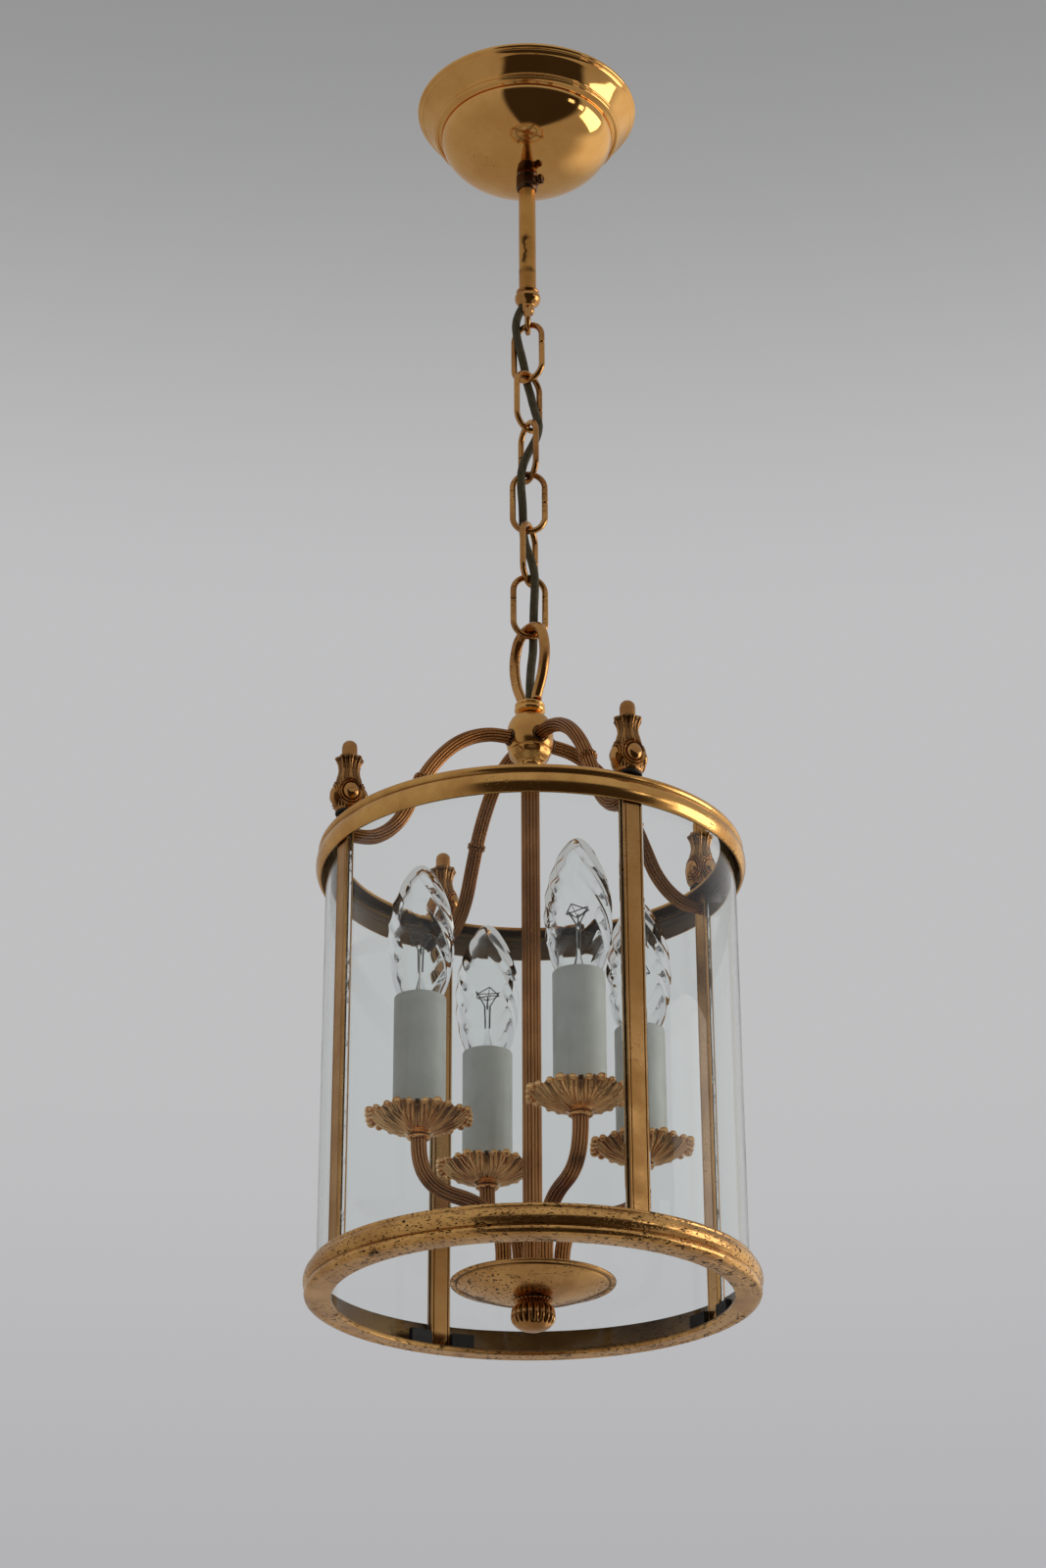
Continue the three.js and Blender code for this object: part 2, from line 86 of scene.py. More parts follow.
def seat(node):
    """A CAD node's centre, half its width, and its top and bottom, in millimetres."""
    low, high = box_of(node)
    middle = (low + high) / 2
    return Seat(middle[0], middle[1], (high[0] - low[0]) / 2, high[2], low[2])


HUB = seat("hub")
STEM = seat("stem")
CANOPY = seat("canopy")
CANDLE_RING = math.hypot(*seat("candle_sleeve_1")[:2])
CANDLE_TURN = math.atan2(seat("candle_sleeve_1").y, seat("candle_sleeve_1").x)
STUD_RING = seat("finial_1").x
LINK_WIRE, LINK_HALF_WIDTH = 1.7, 10.75
BOW_WIRE = 2.9
FLEX_RADIUS = 2.38
ARM_RADIUS = 3.9
CANDLE_ARM_RADIUS = 4.1
RING_WALL, RING_BORE = 110.9, 101.0
GLASS_OUTER, GLASS_INNER = 108.75, 106.45

# The flex's routes: terminal block to stem, and stem end through the links to the neck.
INNER_FLEX = [
    (17, -13, -17.5), (16.6, -12.8, -24), (13.6, -10.7, -32), (8.6, -6.7, -37.6), (3.4, -2.6, -41.4),
    (0.6, -0.4, -46), (0, 0, -54), (0, 0, -90), (0, 0, -132.4),
]
WOVEN_FLEX = [
    (0, 0, -133.2), (-1.6, 0.9, -138.5), (-3.9, 2.1, -144), (-5.8, 2.4, -149.8), (-6.8, 1.8, -156),
    (-5, 3.1, -164), (-2.3, 3.8, -172.5), (0.4, 4.9, -181), (2.2, 5.6, -189.2), (3.6, 3.9, -198),
    (3.6, 1.1, -206), (4.3, -1.4, -214.5), (4.9, -3.5, -222.7), (3, -3.9, -231.5), (-0.4, -3.2, -239.5),
    (-3.9, -2.8, -248), (-5.7, -2.1, -256.2), (-5, -0.4, -264.5), (-3.1, 1.8, -273), (-1.5, 4.2, -281.5),
    (-0.6, 5.5, -289.7), (-0.3, 3.7, -298), (0, 0, -306.5), (0.2, -3.7, -315), (0.5, -5.5, -323.2),
    (1.4, -3.9, -331.5), (2.6, -0.6, -340), (4, 2.6, -348.5), (4.8, 4.5, -356), (4, 3.6, -366),
    (1.8, 1.7, -377), (0.4, 0.4, -388), (0, 0, -396), (0, 0, -402),
]


# ---- camera, light and stage --------------------------------------------------------------------
CAMERA_AT = (-703.0, -1333.4, -1169.1)
CAMERA_AZIMUTH, CAMERA_PITCH, CAMERA_ROLL = 62.35, 25.54, -0.248  # degrees
CAMERA_LENS = 71.04


def direction(azimuth, elevation):
    """The unit vector at an azimuth and elevation in degrees."""
    a, e = math.radians(azimuth), math.radians(elevation)
    return np.array([math.cos(a) * math.cos(e), math.sin(a) * math.cos(e), math.sin(e)])


def make_camera():
    camera = bpy.data.objects.new("camera", bpy.data.cameras.new("camera"))
    bpy.context.scene.collection.objects.link(camera)
    turn_z = Matrix.Rotation(math.radians(CAMERA_AZIMUTH - 90), 4, "Z")
    tilt = Matrix.Rotation(math.radians(90 + CAMERA_PITCH), 4, "X")
    roll = Matrix.Rotation(math.radians(CAMERA_ROLL), 4, "Z")
    place = Matrix.Translation([c * MM for c in CAMERA_AT])
    camera.matrix_world = place @ turn_z @ tilt @ roll
    camera.data.lens = CAMERA_LENS
    camera.data.sensor_width = 36
    bpy.context.scene.camera = camera


class Nodes:
    """Adds nodes to one node tree: each input is given as a value or as another node's output."""

    def __init__(self, tree):
        self.tree = tree

    def add(self, kind, inputs=None, **settings):
        node = self.tree.nodes.new(kind)
        for key, value in settings.items():
            setattr(node, key, value)
        for key, value in (inputs or {}).items():
            self.join(value, node.inputs[key])
        return node

    def join(self, value, socket):
        if isinstance(value, bpy.types.NodeSocket):
            self.tree.links.new(value, socket)
        else:
            socket.default_value = value

    def math(self, operation, *values):
        node = self.add("ShaderNodeMath", operation=operation)
        for socket, value in zip(node.inputs, values):
            self.join(value, socket)
        return node.outputs[0]

    def between(self, value, low, high, start=0.0, end=1.0):
        """A smooth rise from start to end while value goes from low to high."""
        inputs = {"Value": value, "From Min": low, "From Max": high, "To Min": start, "To Max": end}
        return self.add("ShaderNodeMapRange", inputs, interpolation_type="SMOOTHSTEP").outputs[0]

    def mix(self, share, one, other, blend="MIX"):
        node = self.add("ShaderNodeMix", data_type="RGBA", blend_type=blend)
        for socket, value in zip((node.inputs[0], node.inputs[6], node.inputs[7]), (share, one, other)):
            self.join(value, socket)
        return node.outputs[2]

    def noise(self, vector, scale, detail=3.0, roughness=0.5):
        inputs = {"Vector": vector, "Scale": scale, "Detail": detail, "Roughness": roughness}
        return self.add("ShaderNodeTexNoise", inputs).outputs[0]

    def stretched(self, vector, scale):
        return self.add("ShaderNodeMapping", {"Vector": vector, "Scale": scale}).outputs[0]


def make_world():
    """A pale room: a plain wall shows behind the lantern, and it mirrors a dark corner and a lit wall."""
    world = bpy.data.worlds.new("room")
    bpy.context.scene.world = world
    world.use_nodes = True
    tree = world.node_tree
    tree.nodes.clear()
    n = Nodes(tree)
    towards = n.add("ShaderNodeTexCoord").outputs["Generated"]
    east, north, height = n.add("ShaderNodeSeparateXYZ", {0: towards}).outputs
    azimuth = n.math("DEGREES", n.math("ARCTAN2", north, east))
    # Azimuths below are in degrees, and heights are the sines of elevations.
    wall = n.mix(n.between(height, 0.15, 0.36), (0.44, 0.438, 0.455, 1), (0.522, 0.522, 0.53, 1))
    wall = n.mix(n.between(height, 0.47, 0.66), wall, (0.29, 0.29, 0.292, 1))
    room = n.mix(n.between(height, -0.7, 0.6), (0.33, 0.31, 0.29, 1), (0.4, 0.395, 0.385, 1))
    corner = n.math("MULTIPLY", n.between(azimuth, -152, -143), n.between(azimuth, -52, -42, 1, 0))
    corner = n.math("MULTIPLY", corner, n.between(height, 0.27, 0.42, 1, 0))
    corner = n.math("MULTIPLY", corner, n.between(height, -0.995, -0.975))
    room = n.mix(corner, room, (0.034, 0.026, 0.02, 1))
    glow = n.math("MULTIPLY", n.between(azimuth, -14, 2), n.between(azimuth, 22, 46, 1, 0))
    glow = n.math("MULTIPLY", glow, n.between(height, -0.8, -0.5))
    glow = n.math("MULTIPLY", glow, n.between(height, 0.3, 0.6, 1, 0))
    room = n.mix(glow, room, (0.82, 0.79, 0.74, 1))
    path = n.add("ShaderNodeLightPath")
    seen = n.math("MAXIMUM", path.outputs["Is Camera Ray"], path.outputs["Is Transmission Ray"])
    background = n.add("ShaderNodeBackground", {"Color": n.mix(seen, room, wall), "Strength": 1.0})
    n.add("ShaderNodeOutputWorld", {"Surface": background.outputs[0]})


LAMP_AIM = np.array([0.0, 0.0, -380.0])  # the middle of the lantern


def area_light(name, azimuth, elevation, distance, width, height, power, colour=(1, 1, 1)):
    """A soft lamp that looks at the lantern and is not seen through its glass."""
    away = direction(azimuth, elevation)
    side = np.cross([0, 0, 1], away)
    side /= np.linalg.norm(side)
    upwards = np.cross(away, side)
    at = LAMP_AIM + away * distance
    lamp = bpy.data.lights.new(name, "AREA")
    lamp.shape = "RECTANGLE"
    lamp.size = width * MM
    lamp.size_y = height * MM
    lamp.energy = power
    lamp.color = colour
    holder = bpy.data.objects.new(name, lamp)
    bpy.context.scene.collection.objects.link(holder)
    holder.visible_transmission = False
    axes = Matrix([[side[i], upwards[i], away[i]] for i in range(3)]).to_4x4()
    holder.matrix_world = Matrix.Translation([c * MM for c in at]) @ axes
    return holder


def make_lights():
    """A tall window with two small panes beside it, and a weak light that nothing mirrors."""
    daylight = (1, 0.97, 0.93)
    area_light("window", -25, -2, 2300, 1200, 1500, 15, daylight)
    area_light("small_pane_1", -46, 3, 2300, 260, 520, 1.1, daylight)
    area_light("small_pane_2", -61, 7, 2300, 300, 420, 0.8, daylight)
    left = area_light("soft_left", 178, 12, 2200, 1500, 1900, 3)
    left.visible_glossy = False


def make_floor():
    mesh = bpy.data.meshes.new("floor")
    half, level = 9.0, -2.4
    corners = [(-half, -half, level), (half, -half, level), (half, half, level), (-half, half, level)]
    mesh.from_pydata(corners, [], [(0, 1, 2, 3)])
    mesh.materials.append(floor_paint())
    floor = bpy.data.objects.new("floor", mesh)
    bpy.context.scene.collection.objects.link(floor)
    floor.visible_glossy = False


# ---- shape tools --------------------------------------------------------------------------------
class Surface:
    """A grid of points in millimetres, how hollow each one lies, and whether its rows and columns close."""

    def __init__(self, points, hollow=None, closed=(False, False)):
        self.points = points
        self.hollow = np.zeros(points.shape[:2]) if hollow is None else hollow
        self.closed = closed

    def quads(self, first):
        rows, columns = self.points.shape[:2]
        index = first + np.arange(rows * columns).reshape(rows, columns)
        if self.closed[0]:
            index = np.vstack([index, index[:1]])
        if self.closed[1]:
            index = np.hstack([index, index[:, :1]])
        corners = [index[:-1, :-1], index[:-1, 1:], index[1:, 1:], index[1:, :-1]]
        return np.stack(corners, -1).reshape(-1, 4)

    def moved(self, matrix):
        """The same surface turned and moved by a 4 by 4 matrix in millimetres."""
        turned = self.points @ np.array(matrix)[:3, :3].T + np.array(matrix)[:3, 3]
        return Surface(turned, self.hollow, self.closed)


def about_z(angle):
    return Matrix.Rotation(angle, 4, "Z")


def quarter(k):
    """The turn that takes a piece of the cage to its k-th quarter."""
    return about_z(k * math.pi / 2)


def shift(x, y, z):
    return Matrix.Translation((x, y, z))


def on_candle(surface):
    """A surface modelled about the Z axis, moved to the axis of the first candle."""
    return surface.moved(shift(CANDLE_RING, 0, 0))


def mesh_of(name, surfaces, material, sharp=38):
    """One mesh from several surfaces, with the points that coincide joined and its faces pointing out."""
    mesh = bpy.data.meshes.new(name)
    starts = np.cumsum([0] + [s.hollow.size for s in surfaces])
    points = np.vstack([s.points.reshape(-1, 3) for s in surfaces]) * MM
    quads = np.vstack([s.quads(first) for s, first in zip(surfaces, starts)])
    mesh.from_pydata(points.tolist(), [], quads.tolist())
    # Each point's hollowness is kept for the brass, which darkens it as painted shade together with patina.
    layer = mesh.attributes.new("hollow", "FLOAT", "POINT")
    layer.data.foreach_set("value", np.concatenate([s.hollow.ravel() for s in surfaces]).astype(np.float32))
    work = bmesh.new()
    work.from_mesh(mesh)
    bmesh.ops.remove_doubles(work, verts=work.verts, dist=1e-6)
    bmesh.ops.recalc_face_normals(work, faces=work.faces)
    work.to_mesh(mesh)
    work.free()
    mesh.polygons.foreach_set("use_smooth", [True] * len(mesh.polygons))
    mesh.set_sharp_from_angle(angle=math.radians(sharp))
    mesh.materials.append(material)
    return mesh


def put(name, mesh):
    piece = bpy.data.objects.new(name, mesh)
    bpy.context.scene.collection.objects.link(piece)
    return piece


def stand_for(node, mesh):
    """The mesh takes a CAD node's place and rides on its body."""
    piece = put(f"{node}_look", mesh)
    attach(piece, BODY_OF[node])
    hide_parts(node)
    return piece


def extra(name, mesh, body):
    """A piece that the CAD leaves out, riding on a CAD body."""
    piece = put(name, mesh)
    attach(piece, body)
    return piece


def copy_of(mesh, matrix):
    """A copy of a mesh, turned and moved by a matrix in millimetres."""
    copy = mesh.copy()
    matrix = matrix.copy()
    matrix.translation *= MM
    copy.transform(matrix)
    return copy


def cut(mesh, tools):
    """The mesh with the closed surfaces in tools taken out of it."""
    piece = put("cutting", mesh)
    cutters = []
    for tool in tools:
        cutters.append(put("cutter", mesh_of("cutter", [tool], mesh.materials[0])))
        modifier = piece.modifiers.new("cut", "BOOLEAN")
        modifier.operation = "DIFFERENCE"
        modifier.solver = "EXACT"
        modifier.object = cutters[-1]
    graph = bpy.context.evaluated_depsgraph_get()
    result = bpy.data.meshes.new_from_object(piece.evaluated_get(graph))
    result.name = mesh.name
    for used in [piece, *cutters]:
        bpy.data.objects.remove(used)
    return result


def show(node, surfaces, material, tools=()):
    """A CAD node's look from surfaces, with the closed surfaces in tools taken out of it."""
    mesh = mesh_of(node, surfaces, material)
    stand_for(node, cut(mesh, tools) if tools else mesh)


def unit(vector):
    return vector / np.linalg.norm(vector)


def outline(*corners, steps=5):
    """An outline through (radius, height) corners. A third number rounds a corner from that far off."""
    points = []
    for i, corner in enumerate(corners):
        at = np.array(corner[:2], float)
        if len(corner) == 2:
            points.append(at)
            continue
        before = np.array(corners[i - 1][:2], float) - at
        after = np.array(corners[(i + 1) % len(corners)][:2], float) - at
        start = at + unit(before) * min(corner[2], np.linalg.norm(before) / 2)
        end = at + unit(after) * min(corner[2], np.linalg.norm(after) / 2)
        for t in np.linspace(0, 1, steps + 1):
            points.append((1 - t) ** 2 * start + 2 * t * (1 - t) * at + t * t * end)
    return np.array(points)


def spaced(points, count):
    """The same line as count points at even distances."""
    points = np.array(points, float)
    along = np.concatenate([[0], np.cumsum(np.linalg.norm(np.diff(points, axis=0), axis=1))])
    even = np.linspace(0, along[-1], count)
    return np.stack([np.interp(even, along, column) for column in points.T], axis=-1)


def smooth_path(points, count):
    """A centripetal Catmull-Rom curve through the points, as count points at even distances."""
    p = np.array(points, float)
    p = np.vstack([2 * p[0] - p[1], p, 2 * p[-1] - p[-2]])
    knots = np.concatenate([[0], np.cumsum(np.sqrt(np.linalg.norm(np.diff(p, axis=0), axis=1)))])
    pieces = []
    for i in range(1, len(p) - 2):
        t = np.linspace(knots[i], knots[i + 1], 16, endpoint=i == len(p) - 3)[:, None]
        level = [(knots[i - 1 + j], knots[i - 1 + j], p[i - 1 + j]) for j in range(4)]
        while len(level) > 1:
            level = [
                (a[0], b[1], ((b[1] - t) * a[2] + (t - a[0]) * b[2]) / (b[1] - a[0]))
                for a, b in zip(level, level[1:])
            ]
        pieces.append(level[0][2])
    return spaced(np.vstack(pieces), count)


def in_plane(points):
    """Points (radius, height) as points in the XZ plane."""
    points = np.array(points, float)
    return np.stack([points[:, 0], np.zeros(len(points)), points[:, 1]], axis=-1)


def turn(profile, around=128, shape=None, closed=False):
    """A surface of revolution. shape(angle, radius, height) gives the points and how hollow each lies."""
    profile = np.array(profile, float)
    angle = np.linspace(0, 2 * np.pi, around, endpoint=False)[None, :]
    radius = np.repeat(profile[:, :1], around, axis=1)
    height = np.repeat(profile[:, 1:], around, axis=1)
    hollow = np.zeros_like(radius)
    if shape:
        radius, height, hollow = shape(angle, radius, height)
    points = np.stack([radius * np.cos(angle), radius * np.sin(angle), height], axis=-1)
    return Surface(points, hollow, (closed, True))


def path_frames(path, closed):
    """The two directions across a path at each of its points, carried along without twist."""
    if closed:
        along = np.roll(path, -1, axis=0) - np.roll(path, 1, axis=0)
    else:
        along = np.gradient(path, axis=0)
    along /= np.linalg.norm(along, axis=1)[:, None]
    across = np.zeros_like(path)
    start = np.array([0.0, 1.0, 0.0]) if abs(along[0][1]) < 0.9 else np.array([1.0, 0.0, 0.0])
    for i, tangent in enumerate(along):
        start = unit(start - np.dot(start, tangent) * tangent)
        across[i] = start
    return across, np.cross(along, across)


def sweep(path, section, around=24, closed=False):
    """A bar along a path. section is a radius, or section(angle, distance) gives a radius and hollowness."""
    path = np.array(path, float)
    across, other = path_frames(path, closed)
    angle = np.linspace(0, 2 * np.pi, around, endpoint=False)[None, :]
    distance = np.concatenate([[0], np.cumsum(np.linalg.norm(np.diff(path, axis=0), axis=1))])[:, None]
    if callable(section):
        radius, hollow = np.broadcast_arrays(*section(angle, distance), distance + angle)[:2]
    else:
        radius, hollow = np.broadcast_arrays(float(section), 0.0, distance + angle)[:2]
    ring = np.cos(angle)[..., None] * across[:, None] + np.sin(angle)[..., None] * other[:, None]
    points = path[:, None] + radius[..., None] * ring
    if not closed:
        ends = [np.repeat(path[i][None, None], around, axis=1) for i in (0, -1)]
        points = np.concatenate([ends[0], points, ends[1]])
        hollow = np.vstack([hollow[:1], hollow, hollow[-1:]])
    return Surface(points, np.array(hollow), (closed, True))


def reeds(radius, count, depth):
    """A bar's section with round reeds and narrow grooves between them."""

    def section(angle, distance):
        groove = 1 - np.abs(np.cos(count * angle / 2))
        # The hollow value darkens the grooves as painted shade with patina.
        return radius - depth * groove + 0 * distance, groove**1.5 + 0 * distance

    return section


def extruded(section, bottom, top, steps=2):
    """A closed outline of (x, y) points carried straight up, with flat ends."""
    section = np.array(section, float)
    middle = section.mean(axis=0)
    heights = np.linspace(bottom, top, steps)
    rings = [np.column_stack([section, np.full(len(section), z)]) for z in heights]
    ends = [np.tile([*middle, z], (len(section), 1)) for z in (bottom, top)]
    return Surface(np.stack([ends[0], *rings, ends[1]]), None, (False, True))


def ridge(distance, width):
    """A round ridge that is 1 at distance 0 and falls to 0 at the width."""
    return np.clip(1 - (distance / width) ** 2, 0, 1) ** 0.5


def ramp(distance, length):
    """A straight rise from 0 at distance 0 to 1 at the length."""
    return np.clip(distance / length, 0, 1)


def bell(distance, width):
    return np.exp(-((distance / width) ** 2))


# ---- materials ----------------------------------------------------------------------------------
def new_material(name):
    material = bpy.data.materials.new(name)
    material.use_nodes = True
    return material, Nodes(material.node_tree), material.node_tree.nodes["Principled BSDF"]


def brass(name, light, deep, roughness, spots=0.0, ripple=0.25, grain=0.05):
    """Brass that shades between two tones, is darkened in its hollows by painted shade together with patina,
    and may carry dark corrosion spots.
    """
    material, n, shader = new_material(name)
    place = n.add("ShaderNodeTexCoord").outputs["Object"]
    clouds = n.noise(place, 34.0, 4.0, 0.6)
    fine = n.noise(place, 420.0, 5.0, 0.62)
    flat = n.stretched(place, (1.0, 1.0, 2.4))
    hollow = n.add("ShaderNodeAttribute", attribute_name="hollow").outputs["Fac"]
    tone = n.mix(n.between(clouds, 0.35, 0.68), light, deep)
    tone = n.mix(n.between(fine, 0.52, 0.74, 0.0, 0.4), tone, deep)
    zone = n.between(n.noise(place, 16.0, 2.0, 0.5), 0.62 - 0.3 * spots, 0.8 - 0.3 * spots)
    speck = n.between(n.noise(flat, 480.0, 2.5, 0.55), 0.65 - 0.08 * spots, 0.72 - 0.08 * spots)
    patch = n.between(n.noise(flat, 130.0, 5.0, 0.7), 0.64 - 0.08 * spots, 0.74 - 0.08 * spots)
    spot = n.math("MULTIPLY", n.math("MAXIMUM", speck, patch), n.math("MULTIPLY", zone, min(1.0, 2 * spots)))
    # The hollow attribute darkens the brass as painted shade together with patina; the spots are corrosion.
    hollow_shade_and_spots = n.math("MAXIMUM", n.math("MULTIPLY", hollow, 0.88), spot)
    n.join(n.mix(hollow_shade_and_spots, tone, (0.035, 0.018, 0.008, 1)), shader.inputs["Base Color"])
    rough = n.math("ADD", n.between(clouds, 0.3, 0.75, roughness * 0.75, roughness * 1.3),
                   n.math("MULTIPLY", hollow_shade_and_spots, 0.34))
    n.join(rough, shader.inputs["Roughness"])
    shader.inputs["Metallic"].default_value = 1.0
    waves = n.math("MULTIPLY", n.noise(place, 55.0, 2.0, 0.4), ripple)
    relief = n.math("ADD", waves, n.math("MULTIPLY", fine, grain))
    relief = n.math("SUBTRACT", relief, n.math("MULTIPLY", spot, 0.22))
    bump = n.add("ShaderNodeBump", {"Height": relief, "Distance": 0.0005, "Strength": 0.6})
    n.join(bump.outputs[0], shader.inputs["Normal"])
    return material


def clear_glass(name, tint, waves, haze, ior=1.45):
    """Clear glass that lets lamps through: slightly wavy, with a little dust."""
    material, n, shader = new_material(name)
    place = n.add("ShaderNodeTexCoord").outputs["Object"]
    dust = n.noise(place, 90.0, 5.0, 0.7)
    n.join(n.between(dust, 0.5, 0.8, 0.0, haze), shader.inputs["Roughness"])
    relief = n.noise(place, 28.0, 1.0, 0.4)
    bump = n.add("ShaderNodeBump", {"Height": relief, "Distance": 0.001, "Strength": waves})
    n.join(bump.outputs[0], shader.inputs["Normal"])
    dusty = n.mix(n.between(dust, 0.62, 0.85, 0.0, 0.12), tint, (0.8, 0.82, 0.8, 1))
    n.join(dusty, shader.inputs["Base Color"])
    shader.inputs["Transmission Weight"].default_value = 1.0
    shader.inputs["IOR"].default_value = ior
    shadow = n.add("ShaderNodeLightPath").outputs["Is Shadow Ray"]
    through = n.add("ShaderNodeBsdfTransparent", {"Color": tint})
    both = n.add("ShaderNodeMixShader", {0: shadow, 1: shader.outputs[0], 2: through.outputs[0]})
    n.join(both.outputs[0], material.node_tree.nodes["Material Output"].inputs["Surface"])
    return material


def plain_finish(name, colour, other, roughness, scale, grain, metallic=0.0):
    """A quiet surface for plastic, paint or steel: two close tones and a fine grain."""
    material, n, shader = new_material(name)
    place = n.add("ShaderNodeTexCoord").outputs["Object"]
    mottle = n.noise(place, scale, 4.0, 0.6)
    n.join(n.mix(n.between(mottle, 0.3, 0.7), colour, other), shader.inputs["Base Color"])
    n.join(n.between(mottle, 0.3, 0.7, roughness * 0.85, roughness * 1.15), shader.inputs["Roughness"])
    shader.inputs["Metallic"].default_value = metallic
    texture = n.noise(place, scale * 14, 3.0, 0.6)
    bump = n.add("ShaderNodeBump", {"Height": texture, "Distance": 0.0003, "Strength": grain})
    n.join(bump.outputs[0], shader.inputs["Normal"])
    return material


def sleeve_finish():
    """Off-white moulded tube with faint marks down its length and a little light coming through."""
    material, n, shader = new_material("sleeve_plastic")
    place = n.add("ShaderNodeTexCoord").outputs["Object"]
    streak = n.noise(n.stretched(place, (260.0, 260.0, 14.0)), 1.0, 4.0, 0.6)
    mottle = n.noise(place, 60.0, 4.0, 0.6)
    tone = n.mix(n.between(mottle, 0.35, 0.7), (0.53, 0.54, 0.505, 1), (0.47, 0.48, 0.445, 1))
    tone = n.mix(n.between(streak, 0.55, 0.75, 0.0, 0.35), tone, (0.37, 0.37, 0.33, 1))
    n.join(tone, shader.inputs["Base Color"])
    n.join(n.between(mottle, 0.3, 0.7, 0.42, 0.55), shader.inputs["Roughness"])
    shader.inputs["Subsurface Weight"].default_value = 0.12
    shader.inputs["Subsurface Radius"].default_value = (0.004, 0.004, 0.003)
    bump = n.add("ShaderNodeBump", {"Height": streak, "Distance": 0.0002, "Strength": 0.25})
    n.join(bump.outputs[0], shader.inputs["Normal"])
    return material


def floor_paint():
    return plain_finish("floor_paint", (0.66, 0.66, 0.67, 1), (0.63, 0.63, 0.64, 1), 0.8, 6.0, 0.1)


POLISHED = brass("polished_brass", (0.86, 0.48, 0.155, 1), (0.78, 0.4, 0.12, 1), 0.08, 0.25, 0.06, 0.012)
AGED = brass("aged_brass", (0.66, 0.34, 0.11, 1), (0.38, 0.17, 0.055, 1), 0.2, 0.55)
HUB_BRASS = brass("hub_brass", (0.82, 0.45, 0.14, 1), (0.6, 0.3, 0.09, 1), 0.2, 0.45, 0.7)
RING_BRASS = brass("ring_brass", (0.84, 0.47, 0.15, 1), (0.62, 0.31, 0.09, 1), 0.19, 0.42)
SPOTTED = brass("spotted_brass", (0.84, 0.47, 0.16, 1), (0.56, 0.28, 0.09, 1), 0.19, 0.95)
SATIN = brass("satin_brass", (0.68, 0.34, 0.09, 1), (0.52, 0.24, 0.06, 1), 0.3, 0.3)
STRIP = brass("strip_brass", (0.56, 0.31, 0.115, 1), (0.44, 0.22, 0.07, 1), 0.3, 0.4)
REEDED = brass("reeded_brass", (0.5, 0.22, 0.075, 1), (0.3, 0.12, 0.036, 1), 0.22, 0.3)
CAST = brass("cast_brass", (0.97, 0.57, 0.24, 1), (0.7, 0.36, 0.13, 1), 0.13, 0.4, 0.8)
CHASED = brass("chased_brass", (0.62, 0.32, 0.11, 1), (0.38, 0.17, 0.055, 1), 0.17, 0.4)
OXIDE = brass("dark_oxide", (0.16, 0.08, 0.04, 1), (0.08, 0.04, 0.02, 1), 0.36, 0.4)
ZINC = plain_finish("zinc_steel", (0.56, 0.57, 0.58, 1), (0.42, 0.43, 0.45, 1), 0.34, 120.0, 0.2, 1.0)
PANEL_GLASS = clear_glass("panel_glass", (0.955, 0.978, 0.97, 1), 0.08, 0.05, 1.22)
GLASS_EDGE = clear_glass("glass_edge", (0.8, 0.87, 0.85, 1), 0.2, 0.8)
BULB_GLASS = clear_glass("bulb_glass", (0.975, 0.985, 0.982, 1), 0.12, 0.02, 1.23)
SLEEVE = sleeve_finish()
OLIVE = plain_finish("olive_flex", (0.088, 0.068, 0.027, 1), (0.06, 0.046, 0.019, 1), 0.75, 260.0, 0.3)
BLACK = plain_finish("black_plastic", (0.008, 0.007, 0.006, 1), (0.014, 0.012, 0.01, 1), 0.65, 180.0, 0.3)
WIRE = plain_finish("filament_wire", (0.1, 0.095, 0.09, 1), (0.16, 0.15, 0.14, 1), 0.4, 300.0, 0.1, 1.0)
ALUMINIUM = plain_finish("cap_aluminium", (0.72, 0.72, 0.72, 1), (0.6, 0.6, 0.6, 1), 0.28, 200.0, 0.2, 1.0)


# ---- ceiling end --------------------------------------------------------------------------------
def ceiling_hook():
    s = seat("ceiling_hook")
    thick, hole_spread, screw_radius, head_radius = 2.6, 18, 2.2, 3.9
    face = s.top - thick
    plate = turn(outline((0, s.top), (s.radius, s.top, 0.3), (s.radius, face, 0.8), (0, face)), 96)
    countersunk = turn(outline(
        (0, 1), (screw_radius, 1), (screw_radius, face + 1.6), (head_radius, face - 0.1), (0, face - 0.1)
    ), 32)
    holes = [countersunk.moved(shift(side * hole_spread, 0, 0)) for side in (-1, 1)]
    route = [
        (-7.5, -1.2), (-8, -12), (-6.6, -17.2), (-3.4, -19.8), (0, -20.4), (3.4, -19.8), (6.8, -17),
        (8, -12.5),
    ]
    wire = sweep(smooth_path([(0, y, z) for y, z in route], 60), 2.0, 24)
    collar = turn(outline((0, -thick), (3.4, -thick), (3.2, -thick - 1.2, 0.5), (2, -thick - 1.4)), 32)
    collar = collar.moved(shift(0, -7.6, 0))
    show("ceiling_hook", [plate], ZINC, holes)
    extra("hook_wire", mesh_of("hook_wire", [wire, collar], ZINC), "ceiling_fixture")


def terminal_block():
    low, high = box_of("terminal_block")
    x, y = (low[:2] + high[:2]) / 2
    half_x, half_y = (high[:2] - low[:2]) / 2
    around = ((-1, -1), (1, -1), (1, 1), (-1, 1))
    section = outline(*[(x + sx * half_x, y + sy * half_y, 1.2) for sx, sy in around])
    foot = low[2]
    body = extruded(section, foot, high[2], 4)
    well = turn(outline((0, foot - 1), (1.8, foot - 1), (1.8, foot + 5), (0, foot + 5)), 24)
    screw = turn(outline((0, foot + 1.2), (1.5, foot + 1.2, 0.3), (1.5, foot + 4.4), (0, foot + 4.4)), 24)
    wells, screws = ([part.moved(shift(x + side * 5, y, 0)) for side in (-1, 1)] for part in (well, screw))
    show("terminal_block", [body], BLACK, wells)
    heads = mesh_of("terminal_screws", screws, POLISHED)
    extra("terminal_screws", heads, "ceiling_fixture")


